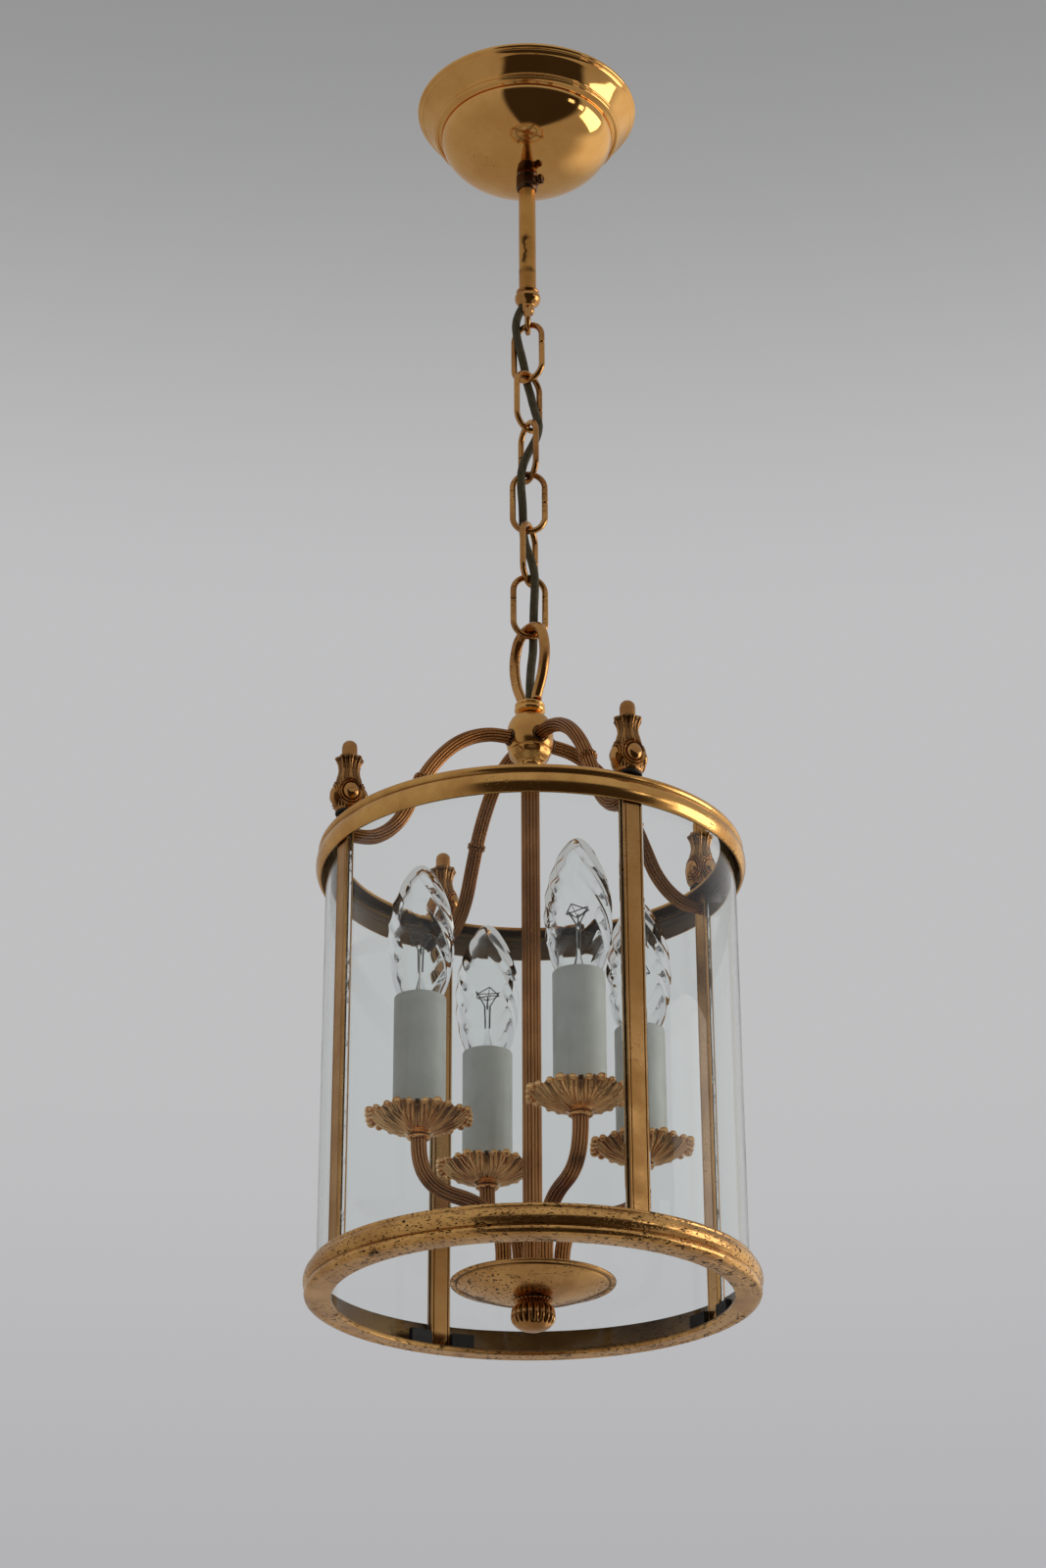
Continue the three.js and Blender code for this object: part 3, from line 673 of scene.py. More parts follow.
def canopy():
    """A spun cup: a rim with two lips, a cone, a double bead and a deep dome."""
    rim, top = CANOPY.radius, CANOPY.top
    wall, dome_top, hole = 1.4, top - 18.4, 5.6
    dome_radius, dome_depth = rim - 14.2, dome_top - CANOPY.bottom + 0.15

    def dome(shrink, count):
        radius = dome_radius - shrink
        angles = np.linspace(0, math.acos(hole / radius), count)
        heights = dome_top - (dome_depth - shrink) * np.sin(angles)
        return [(r, z) for r, z in zip(radius * np.cos(angles), heights)]

    outside = outline(
        (rim - 3.2, top), (rim - 0.6, top, 0.4), (rim, top - 1, 0.6), (rim - 0.2, top - 2.5, 0.7),
        (rim - 1.6, top - 3.1, 0.4), (rim - 1.3, top - 4, 0.5), (rim - 2.3, top - 5.2, 0.7),
        (rim - 3.7, top - 5.9, 0.5), (rim - 7.8, top - 9.9, 2.5), (rim - 10.9, top - 13.6, 0.8),
        (rim - 9.5, top - 14.3, 0.6), (rim - 9.5, top - 15.6, 0.6), (rim - 10.6, top - 16, 0.25),
        (rim - 10.1, top - 16.5, 0.4), (rim - 10.4, top - 17.6, 0.6), (rim - 12.6, top - 18.3, 0.7),
    )
    inside = outline(
        (hole, CANOPY.bottom + wall), *dome(wall, 24)[::-1], (rim - 12.6, top - 15.5),
        (rim - 4.2, top - 5.5, 1), (rim - 3.2, top - 2), (rim - 3.2, top),
    )
    profile = np.vstack([outside, dome(0, 56), inside])
    show("canopy", [turn(profile, 192, closed=True)], POLISHED)


def on_side(azimuth, height):
    """The move that lays the Z axis on its side: it then points out at an azimuth, at a height."""
    return shift(0, 0, height) @ about_z(azimuth) @ Matrix.Rotation(math.pi / 2, 4, "Y")


def side_bar(profile, azimuth, height, around=32):
    """A turned piece laid on its side."""
    return turn(profile, around).moved(on_side(azimuth, height))


GRIP_SCREW = seat("grip_screw")
GRIP_AZIMUTH = math.atan2(GRIP_SCREW.y, GRIP_SCREW.x)
GRIP_HEIGHT = (GRIP_SCREW.top + GRIP_SCREW.bottom) / 2


def grip_collar():
    s = seat("grip_collar")
    bore, radius = 5.3, 6.4
    sleeve = outline(
        (bore, s.bottom), (radius - 0.9, s.bottom, 0.3), (radius - 0.3, s.bottom + 1.2, 0.4),
        (radius, s.bottom + 2.4, 0.6), (radius, s.top - 2.4, 0.5), (radius - 0.5, s.top - 1.8, 0.2),
        (radius, s.top - 1.2, 0.3), (radius - 0.6, s.top, 0.3), (bore, s.top),
    )
    boss = outline((5.9, 0), (5.9, 3.1), (7.6, 3, 0.3), (8, 2.6, 0.2), (8, 0))
    boss = side_bar([(z, r) for r, z in boss], GRIP_AZIMUTH, GRIP_HEIGHT)
    show("grip_collar", [turn(sleeve, 96, closed=True), boss], OXIDE)


def grip_screw():
    """A round-headed screw with a slot and a milled edge."""
    start, end, head = 8.3, 11.4, 2.9
    profile = outline(
        (0, 5.4), (1.5, 5.4), (1.5, start), (head - 0.3, start), (head, start + 0.4, 0.2),
        (head, end - 1.3, 0.4), (head - 0.9, end - 0.2, 0.6), (0, end),
    )

    def milled(angle, radius, height):
        edge = np.where((radius > head - 0.4) & (height > start), 1, 0) * np.abs(np.sin(12 * angle))
        return radius - 0.22 * edge, height, edge * 0.8

    lie = on_side(GRIP_AZIMUTH, GRIP_HEIGHT)
    slot = extruded([(-4, -0.35), (4, -0.35), (4, 0.35), (-4, 0.35)], end - 0.9, end + 1).moved(lie)
    show("grip_screw", [turn(profile, 144, milled).moved(lie)], OXIDE, [slot])


def stem():
    """A satin tube with a dark worn streak down its front and a stained band above the end fitting."""
    bore, radius = 3.4, STEM.radius
    streak_top, streak_foot, streak_azimuth, band = -92, -114, 3.9, -117.4

    def worn(angle, radius_in, height):
        wander = streak_azimuth + 0.1 * np.sin(height / 1.9) + 0.06 * np.sin(height / 0.7)
        reach = ramp(streak_top - height, 3) * ramp(height - streak_foot, 3)
        width = 0.2 + 0.08 * np.sin(height / 2.6) + 0.16 * bell(height - streak_top + 3, 1.5)
        streak = bell(angle - wander, width) * reach
        ragged = 1.4 + 0.6 * np.sin(2 * angle) + 0.3 * np.sin(7 * angle)
        stain = 0.75 * bell(height - band, ragged) * (0.7 + 0.3 * np.sin(3 * angle))
        outside = np.where(radius_in > bore + 0.5, 1, 0)
        return radius_in, height, np.clip(streak + stain, 0, 1) * outside

    outside = [(radius, z) for z in np.linspace(STEM.bottom, STEM.top, 120)]
    tube = turn([(bore, STEM.bottom), *outside, (bore, STEM.top)], 96, worn, closed=True)
    slot = sweep(smooth_path(INNER_FLEX[2:7], 24), FLEX_RADIUS + 0.8, 24)
    show("stem", [tube], SATIN, [slot])


def stem_eye():
    s = seat("stem_eye")
    cap_radius, ring, wire, ring_z, cap_top = 6.6, 5.5, 1.6, -22, -27
    stem_radius = STEM.radius + 0.3
    cap = outline(
        (0, cap_top - 2), (stem_radius, cap_top - 2), (stem_radius, s.bottom), (cap_radius, s.bottom, 0.3),
        (cap_radius, cap_top - 3.4, 0.3), (cap_radius - 0.5, cap_top - 3, 0.2),
        (cap_radius, cap_top - 2.6, 0.3), (cap_radius - 0.4, cap_top - 1, 0.6), (4, cap_top, 1),
        (0, cap_top),
    )
    angles = np.linspace(0, 2 * math.pi, 64, False)
    loop = in_plane(np.column_stack([ring * np.cos(angles), ring_z + ring * np.sin(angles)]))
    show("stem_eye", [turn(cap, 96), sweep(loop, wire, 24, closed=True)], AGED)


def stem_end():
    """The turned fitting at the foot of the stem: a thin bead, a wide bead, and an ear that holds a ring."""
    s = seat("stem_end")
    loop_width, loop_height, azimuth = 5.9, 7.6, math.radians(62)
    top, radius = s.top, 7.6
    foot = -145.8
    body = outline(
        (0, top), (radius - 2, top, 0.3), (radius - 0.9, top - 0.9, 0.6), (radius - 1, top - 2.1, 0.6),
        (radius - 2, top - 3, 0.3), (radius - 0.4, top - 3.9, 0.7), (radius, top - 5.6, 1),
        (radius - 0.3, top - 7.4, 1), (radius - 1.4, top - 9, 0.7), (radius - 2.6, top - 10, 0.5),
        (radius - 3.6, top - 10.8, 0.5), (radius - 3.8, foot + 1, 0.8), (radius - 4.6, foot, 0.4),
        (0, foot),
    )
    middle = s.bottom + LINK_WIRE + loop_height
    wire = sweep(oval(loop_width, loop_height, 96), LINK_WIRE, 24, closed=True)
    wire = wire.moved(shift(0, 0, middle) @ about_z(azimuth))
    bore_radius, bore_foot = STEM.radius + 0.15, STEM.bottom - 0.3
    bore = turn([(0, top + 1), (bore_radius, top + 1), (bore_radius, bore_foot), (0, bore_foot)], 64)
    leave = sweep(smooth_path(WOVEN_FLEX[:5], 24), FLEX_RADIUS + 0.3, 24)
    show("stem_end", [turn(body, 128)], AGED, [bore, leave])
    extra("stem_end_ring", mesh_of("stem_end_ring", [wire], AGED), "ceiling_fixture")


# ---- chain and flex -----------------------------------------------------------------------------
# For each link: its plane's azimuth in degrees, and the side and height of the butt joint in its wire.
LINKS = [(-56, 1, 4), (17, 1, -2.4), (-90, -1, 0), (-28, 1, -0.7), (40, 1, -2.7), (-14, -1, 3.8)]


def oval(half_width, half_height, count):
    """A link's centre line: two straight legs and two half circles."""
    straight = half_height - half_width
    arc = np.linspace(0, math.pi, 40)
    upper = np.column_stack([half_width * np.cos(arc), straight + half_width * np.sin(arc)])
    line = np.vstack([upper, -upper, upper[:1]])
    return in_plane(spaced(line, count + 1)[:-1])


def chain_link(number, azimuth, side, seam):
    node = f"chain_link_{number}"
    s = seat(node)
    middle = (s.top + s.bottom) / 2
    half_height = (s.top - s.bottom) / 2 - LINK_WIRE
    path = oval(LINK_HALF_WIDTH - LINK_WIRE, half_height, 240)
    at_seam = np.abs(path[:, 2] - seam) + np.where(path[:, 0] * side > 0, 0, 99)

    def section(angle, distance):
        gap = bell(at_seam, 0.32)[:, None]
        burr = bell(at_seam - 0.75, 0.4)[:, None] * (1 + 0.5 * np.cos(3 * angle))
        worn = 0.02 * np.cos(2 * angle + distance / 9)
        return LINK_WIRE - 0.45 * gap + 0.07 * burr + worn, gap + 0 * angle

    wire = sweep(path, section, 32, closed=True)
    place = shift(0, 0, middle) @ about_z(math.radians(azimuth))
    show(node, [wire.moved(place)], AGED)


def chain():
    for number, (azimuth, side, seam) in enumerate(LINKS, 1):
        chain_link(number, azimuth, side, seam)


def woven_flex():
    """The flex as one length per swing, from half way down one link to half way down the next."""
    path = smooth_path(WOVEN_FLEX, 700)
    links = [seat(f"chain_link_{k + 1}") for k in range(len(LINKS))]
    middles = [(link.top + link.bottom) / 2 for link in links]
    ends = [WOVEN_FLEX[0][2], *middles, WOVEN_FLEX[-1][2]]
    full = sweep(path, FLEX_RADIUS, 24)
    rows = path[:, 2]
    reach = 9.0
    for k, swing in enumerate(SWINGS):
        first = int(np.argmin(np.abs(rows - ends[k])))
        last = int(np.argmin(np.abs(rows - ends[k + 1])))
        start = first + 1 if k else 0
        stop = last + 2 if k < len(SWINGS) - 1 else len(full.points)
        part = Surface(full.points[start:stop], full.hollow[start:stop], (False, True))
        piece = put(f"flex_{k + 1}", mesh_of(f"flex_{k + 1}", [part], OLIVE))
        height = swing["pos_m"][2]
        start, end = (0, 0, height + reach * MM), (0, 0, height - reach * MM)
        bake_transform(piece)
        if swing["parent"] == BODY_OF["flex"]:
            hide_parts("flex")


def inner_flex():
    wire = sweep(smooth_path(INNER_FLEX, 200), FLEX_RADIUS, 24)
    show("inner_flex", [wire], OLIVE)


# ---- bow, neck and hub --------------------------------------------------------------------------
def hanging_bow():
    s = seat("hanging_bow")
    azimuth = math.radians(-80)
    crest, foot, half, bottom = s.top - BOW_WIRE, 5.9, 13.6, s.bottom
    side = [
        (foot, bottom), (foot + 0.1, bottom + 1.5), (foot + 1.5, bottom + 5), (half - 2.6, bottom + 13),
        (half - 0.2, bottom + 24), (half - 0.6, bottom + 33), (half * 0.72, crest - 4.2),
        (half * 0.37, crest - 0.9),
    ]
    route = side + [(0, crest)] + [(-x, z) for x, z in reversed(side)]
    path = smooth_path(in_plane(route), 220)

    def section(angle, distance):
        return BOW_WIRE * (1 + 0.012 * np.cos(2 * angle + distance / 14)), 0.0

    show("hanging_bow", [sweep(path, section, 40).moved(about_z(azimuth))], AGED)


def neck_collar():
    s = seat("neck_collar")
    top, bottom, radius, bore = s.top, s.bottom, s.radius, FLEX_RADIUS + 0.5
    profile = outline(
        (bore, bottom), (radius - 2.2, bottom), (radius - 1.4, bottom + 0.5, 0.4),
        (radius - 0.6, bottom + 1, 0.3), (radius - 0.1, bottom + 2, 0.7), (radius - 0.2, bottom + 3.3, 0.7),
        (radius - 1.2, bottom + 4, 0.3), (radius - 0.4, bottom + 4.7, 0.5),
        (radius - 0.4, bottom + 5.7, 0.5), (radius - 1.6, top - 0.4, 0.4), (radius - 2.6, top, 0.4),
        (bore, top),
    )
    show("neck_collar", [turn(profile, 128, closed=True)], POLISHED)


def hub():
    """A ball with a flat-sided foot, and a dark rim round each arm's socket."""
    top, bottom, radius = HUB.top, HUB.bottom, HUB.radius
    profile = outline(
        (0, top), (5.6, top, 0.3), (6.6, top - 0.8, 0.6), (radius - 3.2, top - 2.2, 2),
        (radius - 0.6, top - 7, 3), (radius, top - 13, 4), (radius, bottom + 13.4, 2),
        (radius - 0.9, bottom + 11.2, 0.5), (radius - 1.5, bottom + 10.6, 0.3),
        (radius - 0.8, bottom + 9.8, 0.5), (radius - 1.6, bottom + 7, 1.5), (radius - 4.9, bottom + 3.4, 1),
        (radius - 6.2, bottom + 2.8, 0.4), (radius - 5.8, bottom + 1.6, 0.6), (radius - 6.6, bottom, 0.5),
        (0, bottom),
    )

    def facets(angle, radius, height):
        low = ramp(bottom + 10 - height, 2) * ramp(height - bottom - 2.6, 2)
        flat = np.abs(np.sin(4 * angle))
        return radius * (1 - 0.07 * low * flat), height, 0.35 * low * flat**4

    arms = [arm_socket(radius).moved(quarter(k)) for k in range(FOLD)]
    show("hub", [turn(spaced(profile, 90), 192, facets)], HUB_BRASS)
    extra("hub_sockets", mesh_of("hub_sockets", arms, OXIDE), "lantern")


ARM_HEIGHT = -423.5


def arm_socket(hub_radius):
    inner, outer = ARM_RADIUS + 0.25, ARM_RADIUS + 0.9
    profile = outline(
        (inner, hub_radius - 1.6), (inner, hub_radius + 0.3), (ARM_RADIUS + 0.6, hub_radius + 0.5, 0.2),
        (outer, hub_radius - 0.1, 0.2), (outer, hub_radius - 1.6),
    )
    return side_bar(profile, 0, ARM_HEIGHT, 48)


def scroll_arm_mesh():
    """A reeded bar that curls from the hub down to the top ring, with a knurled collar half way."""
    route = smooth_path(in_plane([
        (13.1, ARM_HEIGHT), (24, -424.5), (36, -429), (46, -436), (54, -444.5), (60.5, -453.5),
        (66, -463.5), (71.5, -475), (76.5, -485.5), (83.5, -494), (91.5, -499.4), (98, -500.9),
        (104.5, -501),
    ]), 300)
    bar = sweep(route, reeds(ARM_RADIUS, 14, 0.62), 140)
    collar_place = 0.52  # as a share of the arm's length, from the hub
    middle = int(len(route) * collar_place)
    collar_path = smooth_path(route[middle - 5: middle + 6], 41)
    length = np.linalg.norm(np.diff(collar_path, axis=0), axis=1).sum()

    def knurls(angle, distance):
        along = distance / length * 2 - 1
        swell = ridge(along, 1.0)
        beads = np.abs(np.cos(7 * angle + np.where(along > 0, math.pi / 2, 0)))
        lump = np.clip(np.abs(np.sin(math.pi * along)) ** 0.5 * beads, 0, 1) ** 0.6
        # The hollows between the knurls are darkened as painted shade with patina.
        return ARM_RADIUS - 0.4 + swell * (0.55 + 1.2 * lump), (1 - lump) * 0.9 * swell

    return mesh_of("scroll_arm", [bar, sweep(collar_path, knurls, 112)], REEDED)


def centre_rod():
    s = seat("centre_rod")
    route = np.column_stack([np.zeros((40, 2)), np.linspace(s.bottom, s.top, 40)])
    rod = sweep(route, reeds(s.radius, 16, 0.55), 160)
    show("centre_rod", [rod], REEDED)


# ---- cage ---------------------------------------------------------------------------------------
def ring_shade_and_dirt(low, high, groove):
    """A shape for turn(): a ring's inner wall is darkened from low to high as painted shade, less in two
    bands, and its groove is darkened as painted shade with dirt.
    """

    def shape(angle, radius, height):
        inside = (radius < RING_WALL + 0.6) & (height > low) & (height < high)
        outside = radius > RING_WALL + 0.7
        in_groove = 0.75 * outside * bell(height - groove, 0.4) * (0.75 + 0.25 * np.sin(9 * angle))
        inner_wall_shade = 1 - 0.35 * bell(height - groove - 1.4, 0.5) - 0.2 * bell(height - groove + 2.6, 0.4)
        return radius, height, np.where(inside, inner_wall_shade, in_groove)

    return shape


def top_ring():
    """A narrow upper bead over a broad polished band, with a flange turned in at the top."""
    s = seat("top_ring")
    top, bottom, outer = s.top, s.bottom, s.radius
    wall, inner, flange = RING_WALL, RING_BORE, 2.2
    profile = outline(
        (inner, top - flange), (inner, top, 0.4), (outer - 4.6, top, 0.5), (outer - 3.6, top - 0.3, 0.3),
        (outer - 2, top - 0.6, 0.8), (outer - 1, top - 1.8, 0.9), (outer - 1.1, top - 3.9, 0.9),
        (outer - 2.1, top - 4.9, 0.3), (outer - 1.2, top - 5.7, 0.4), (outer - 0.3, top - 7.4, 1),
        (outer, top - 9.6, 1.2), (outer - 0.1, top - 11.9, 1.2), (outer - 1, top - 14.4, 1),
        (outer - 2, bottom, 0.5), (wall, bottom, 0.2), (wall, top - 8.6, 0.3), (wall + 0.5, top - 8.1, 0.2),
        (wall + 0.5, top - 4, 0.3), (wall, top - flange),
    )
    stud_hole = turn([(0, top + 1), (1.5, top + 1), (1.5, top - flange - 1), (0, top - flange - 1)], 24)
    stud_holes = [stud_hole.moved(quarter(k) @ shift(STUD_RING, 0, 0)) for k in range(FOLD)]
    ring = turn(profile, 288, ring_shade_and_dirt(bottom - 1, top - 0.5, top - 4.9), closed=True)
    show("top_ring", [ring], RING_BRASS, stud_holes)


def bottom_ring():
    """A heavy bead, a smaller one under it, and a flat flange turned in that carries the glass."""
    s = seat("bottom_ring")
    top, bottom, outer = s.top, s.bottom, s.radius
    wall, inner, flange = RING_WALL, RING_BORE, 2.6
    profile = outline(
        (inner, bottom + flange, 0.3), (inner, bottom, 0.5), (outer - 6.6, bottom, 0.3),
        (outer - 6.2, bottom + 0.35, 0.2), (outer - 5.7, bottom, 0.3), (outer - 3.4, bottom, 0.8),
        (outer - 1.2, bottom + 0.9, 1), (outer - 0.5, bottom + 2.6, 0.9), (outer - 1, bottom + 4.2, 0.7),
        (outer - 2, bottom + 5, 0.25), (outer - 1.3, bottom + 5.6, 0.4), (outer - 0.1, bottom + 7.3, 1.1),
        (outer, bottom + 9.4, 1.2), (outer - 0.5, bottom + 11.8, 1.2), (outer - 1.8, bottom + 13.3, 0.6),
        (outer - 2.6, bottom + 13.6, 0.2), (outer - 2.4, bottom + 14.4, 0.3), (outer - 3.2, top, 0.5),
        (wall, top - 0.4, 0.2), (wall, bottom + flange),
    )
    ring = turn(profile, 288, ring_shade_and_dirt(bottom + 0.5, top + 1, bottom + 5), closed=True)
    show("bottom_ring", [ring], SPOTTED)


def upright_mesh():
    """A strip outside the glass and one inside, each with two engraved lines, and the web between them."""
    s = seat("upright_1")
    low, high = box_of("upright_1")
    outer, inner = high[0], low[0]
    skin, half, web, groove = 1.25, high[1], 2.6, 0.5

    def scored(x, into):
        """A strip's flat side at x with a fine groove near each edge, cut in the direction of into."""
        points = [(x, -half + 0.3)]
        floor = x + into * groove
        for y in (1.3 - half, half - 1.3):
            points += [(x, y - 0.28), (floor, y - 0.1), (floor, y + 0.1), (x, y + 0.28)]
        return points + [(x, half - 0.3)]

    out_back, in_back, corner = outer - skin, inner + skin, web + 0.5
    out_edge, in_edge = outer - 0.3, inner + 0.3
    outside = [(out_back, -half), (out_edge, -half), *scored(outer, -1), (out_edge, half), (out_back, half)]
    inside = [(in_back, half), (in_edge, half), *scored(inner, 1)[::-1], (in_edge, -half), (in_back, -half)]
    section = np.array([
        (in_back, -corner), (in_back, -web), (out_back, -web), (out_back, -corner), *outside,
        (out_back, corner), (out_back, web), (in_back, web), (in_back, corner), *inside,
    ])
    heights = np.linspace(s.bottom, s.top, 30)
    rings = np.stack([np.column_stack([section, np.full(len(section), z)]) for z in heights])
    in_groove = np.isclose(section[:, 0], outer - groove) | np.isclose(section[:, 0], inner + groove)
    beside_web = np.isclose(np.abs(section[:, 1]), web)
    # The engraved grooves are darkened as painted shade with patina, and the faces beside the web as painted
    # shade in the gap that holds the glass.
    hollow = np.tile(np.where(in_groove, 1.0, np.where(beside_web, 0.8, 0.0)), (len(heights), 1))
    return capped(mesh_of("upright", [Surface(rings, hollow, (False, True))], STRIP, 25))


def capped(mesh):
    """The mesh with its open ends filled."""
    work = bmesh.new()
    work.from_mesh(mesh)
    bmesh.ops.holes_fill(work, edges=[e for e in work.edges if e.is_boundary])
    bmesh.ops.triangulate(work, faces=[f for f in work.faces if len(f.verts) > 4])
    bmesh.ops.recalc_face_normals(work, faces=work.faces)
    work.to_mesh(mesh)
    work.free()
    return mesh


def glass_panel_mesh():
    """A quarter of a glass tube, with ground edges and a narrow greenish border beside the uprights."""
    low, high = box_of("glass_panel_1")
    web_side, strip_side, border, ease = 3.0, 5.5, 1.0, 0.35
    sides = (web_side, strip_side, strip_side + border)
    edge, inset, clear = (math.asin(side / GLASS_INNER) for side in sides)
    clear_part = np.linspace(clear, math.pi / 2 - clear, 56)
    angles = np.concatenate([[edge, inset], clear_part, [math.pi / 2 - inset, math.pi / 2 - edge]])
    round_trip = np.concatenate([angles, angles[::-1]])
    levels = [(low[2], ease), (low[2] + ease, 0), (high[2] - ease, 0), (high[2], ease)]
    rings = []
    for z, shrink in levels:
        radius = np.repeat([GLASS_OUTER - shrink, GLASS_INNER + shrink], len(angles))
        ring = [radius * np.cos(round_trip), radius * np.sin(round_trip), np.full(len(round_trip), z)]
        rings.append(np.column_stack(ring))
    mesh = capped(mesh_of("glass_panel", [Surface(np.stack(rings), None, (False, True))], PANEL_GLASS, 30))
    mesh.materials.append(GLASS_EDGE)
    for face in mesh.polygons:
        normal, centre = face.normal, face.center
        radial = abs(normal.x * centre.x + normal.y * centre.y) / math.hypot(centre.x, centre.y)
        along = math.atan2(centre.y, centre.x)
        in_clear = clear < along < math.pi / 2 - clear
        face.material_index = 0 if radial > 0.9 and in_clear else 1
    return mesh


def glass_pads():
    """Black pads that hold each panel's lower corners, beside the uprights."""
    bottom = seat("bottom_ring").bottom + 2.65
    height, inner, outer = 7.5, 103.0, GLASS_INNER - 0.1
    upright_side, pad_end = 6.0, 18.0
    near, far = math.asin(upright_side / inner), math.asin(pad_end / inner)
    pads = []
    for k in range(FOLD):
        for side in (-1, 1):
            angles = side * np.linspace(near, far, 9)
            section = [(outer * math.cos(a), outer * math.sin(a)) for a in angles]
            section += [(inner * math.cos(a), inner * math.sin(a)) for a in angles[::-1]]
            pads.append(extruded(section, bottom, bottom + height, 5).moved(quarter(k)))
    extra("glass_pads", mesh_of("glass_pads", pads, BLACK), "lantern")


# ---- finials ------------------------------------------------------------------------------------
WASHER_FOOT, WASHER_HEIGHT = -490.2, 1.5


def finial_mesh():
    """Cast ornament: four round bosses with double rings, leaves between, a leafy crown and a round tip."""
    s = seat("finial_1")
    seat_z, washer = WASHER_FOOT, WASHER_HEIGHT
    tip, crown_top = s.top - seat_z, 33.4
    belly, boss_width, boss_height, boss_z = 9.0, 6.9, 7.2, 10.8
    base = [
        (0, washer), (6.3, washer), (6.9, washer + 0.8), (7.7, 4.2), (8.2, 8), (8.3, 11), (7.9, 15),
        (6.7, 19), (5.5, 22.6), (5.1, 25), (5.4, 28), (6.5, 30.6), (6.8, 31.5), (6.3, 32.6), (5, crown_top),
        (4.1, 33.1), (4.1, 34), (4.1, tip - 4), (3.7, tip - 2), (2.6, tip - 0.7), (1.2, tip - 0.1),
        (0, tip),
    ]
    profile = np.array([(r, seat_z + z) for r, z in spaced(base, 200)])

    def carved(angle, radius, height):
        z = height - seat_z
        from_boss = (angle + math.pi / 4) % (math.pi / 2) - math.pi / 4
        away = np.hypot(from_boss * belly / boss_width, (z - boss_z) / boss_height)
        boss = 1.85 * ridge(away, 0.66)
        rings = 0.9 * bell(away - 0.83, 0.065) + 0.7 * bell(away - 1.02, 0.055)
        groove = bell(away - 0.72, 0.045) + bell(away - 0.93, 0.035) + 0.8 * bell(away - 1.12, 0.05)
        on_belly = ramp(21 - z, 3) * ramp(z - 2.2, 1.5)
        between = ramp(away - 1.12, 0.15) * on_belly
        veins = np.abs(np.sin(12 * angle))
        on_neck = ramp(z - 16, 4) * ramp(crown_top - z, 0.6)
        leaf = np.abs(np.cos(4 * angle))
        rib = np.abs(np.cos(8 * angle))
        crown = ramp(z - 24, 5) * ramp(crown_top + 0.2 - z, 1.2)
        lip = bell(z - 31.8, 0.7)
        grown = radius + on_belly * (boss + rings - 0.5 * groove) - 0.8 * between * (1 - veins)
        grown = grown + on_neck * (0.5 * leaf - 0.6 * (1 - rib)) + crown * 0.4 * (leaf - 0.5) + 0.35 * lip
        lift = 0.5 * crown * (leaf - 0.5)
        # in_leaf and the grooves darken the carving as painted shade with patina; under_lip is painted shade
        # below the lip and where the shaft leaves the crown.
        in_leaf = on_neck * (0.8 * (1 - leaf) ** 1.6 + 0.75 * (1 - rib) ** 1.6)
        under_lip = 0.7 * bell(z - 30.4, 0.45) + 0.8 * bell(z - crown_top, 0.5)
        hollow = np.clip(on_belly * groove + between * 0.8 * (1 - veins) + in_leaf + under_lip, 0, 1)
        return np.minimum(grown, s.radius), height + lift, hollow

    body = turn(profile, 216, carved)
    stud_foot = seat_z - 8.5
    stud = outline((0, stud_foot), (1.2, stud_foot, 0.4), (1.2, seat_z + washer), (0, seat_z + washer))
    return mesh_of("finial", [body, turn(stud, 32)], CHASED, 50)


def washer_mesh():
    z, top = WASHER_FOOT, WASHER_FOOT + WASHER_HEIGHT
    profile = outline((1.6, z), (6.7, z, 0.3), (6.9, z + 0.8, 0.4), (6.6, top, 0.2), (1.6, top))
    return mesh_of("finial_washer", [turn(profile, 64, closed=True)], BLACK)


FINIAL_TURNS = [12, 33, -14, -5]  # degrees: each is screwed home at its own angle


def finials():
    body, washer = finial_mesh(), washer_mesh()
    for k, degrees in enumerate(FINIAL_TURNS):
        place = quarter(k) @ shift(STUD_RING, 0, 0) @ about_z(math.radians(degrees))
        stand_for(f"finial_{k + 1}", copy_of(body, place))
        extra(f"finial_washer_{k + 1}", copy_of(washer, place), f"finial_{k + 1}")


# ---- candle cluster -----------------------------------------------------------------------------
def dish():
    """A shallow saucer with a rolled rim under a drum, where the arms and the rod are fixed."""
    s = seat("dish")
    top, bottom, radius, boss = s.top, s.bottom, s.radius, 21.5
    profile = outline(
        (0, bottom), (9.6, bottom, 0.5), (16, bottom + 0.5, 3), (24, bottom + 2.3, 3),
        (32, bottom + 4.9, 3), (38.2, bottom + 7.5, 0.4), (38.9, bottom + 8.6, 0.3),
        (40.2, bottom + 7.9, 0.6), (radius - 0.4, bottom + 8.4, 0.6), (radius, bottom + 9.3, 0.4),
        (radius - 0.8, bottom + 9.9, 0.4), (radius - 2.2, bottom + 9.3, 0.8), (32, bottom + 6.7, 3),
        (boss + 1.6, bottom + 4.4, 1), (boss + 0.5, bottom + 5.2, 0.4), (boss, bottom + 6.4, 0.5),
        (boss, top - 2.2, 0.4), (boss - 0.5, top - 1.7, 0.2), (boss - 0.2, top - 1, 0.4),
        (boss - 1.4, top, 0.6), (0, top),
    )

    def junction_shade(angle, radius_in, height):
        # Painted shade: darker in the rim's groove and round the feet of the knob and the drum.
        rim_line = 0.85 * bell(radius_in - 38.8, 0.5)
        round_knob = 0.25 * bell(radius_in - 11, 1.2) * (height < bottom + 3)
        round_drum = 0.6 * bell(radius_in - boss - 0.8, 0.8) * (height > bottom + 3)
        return radius_in, height, np.clip(rim_line + round_knob + round_drum, 0, 1)

    show("dish", [turn(profile, 224, junction_shade)], SPOTTED)


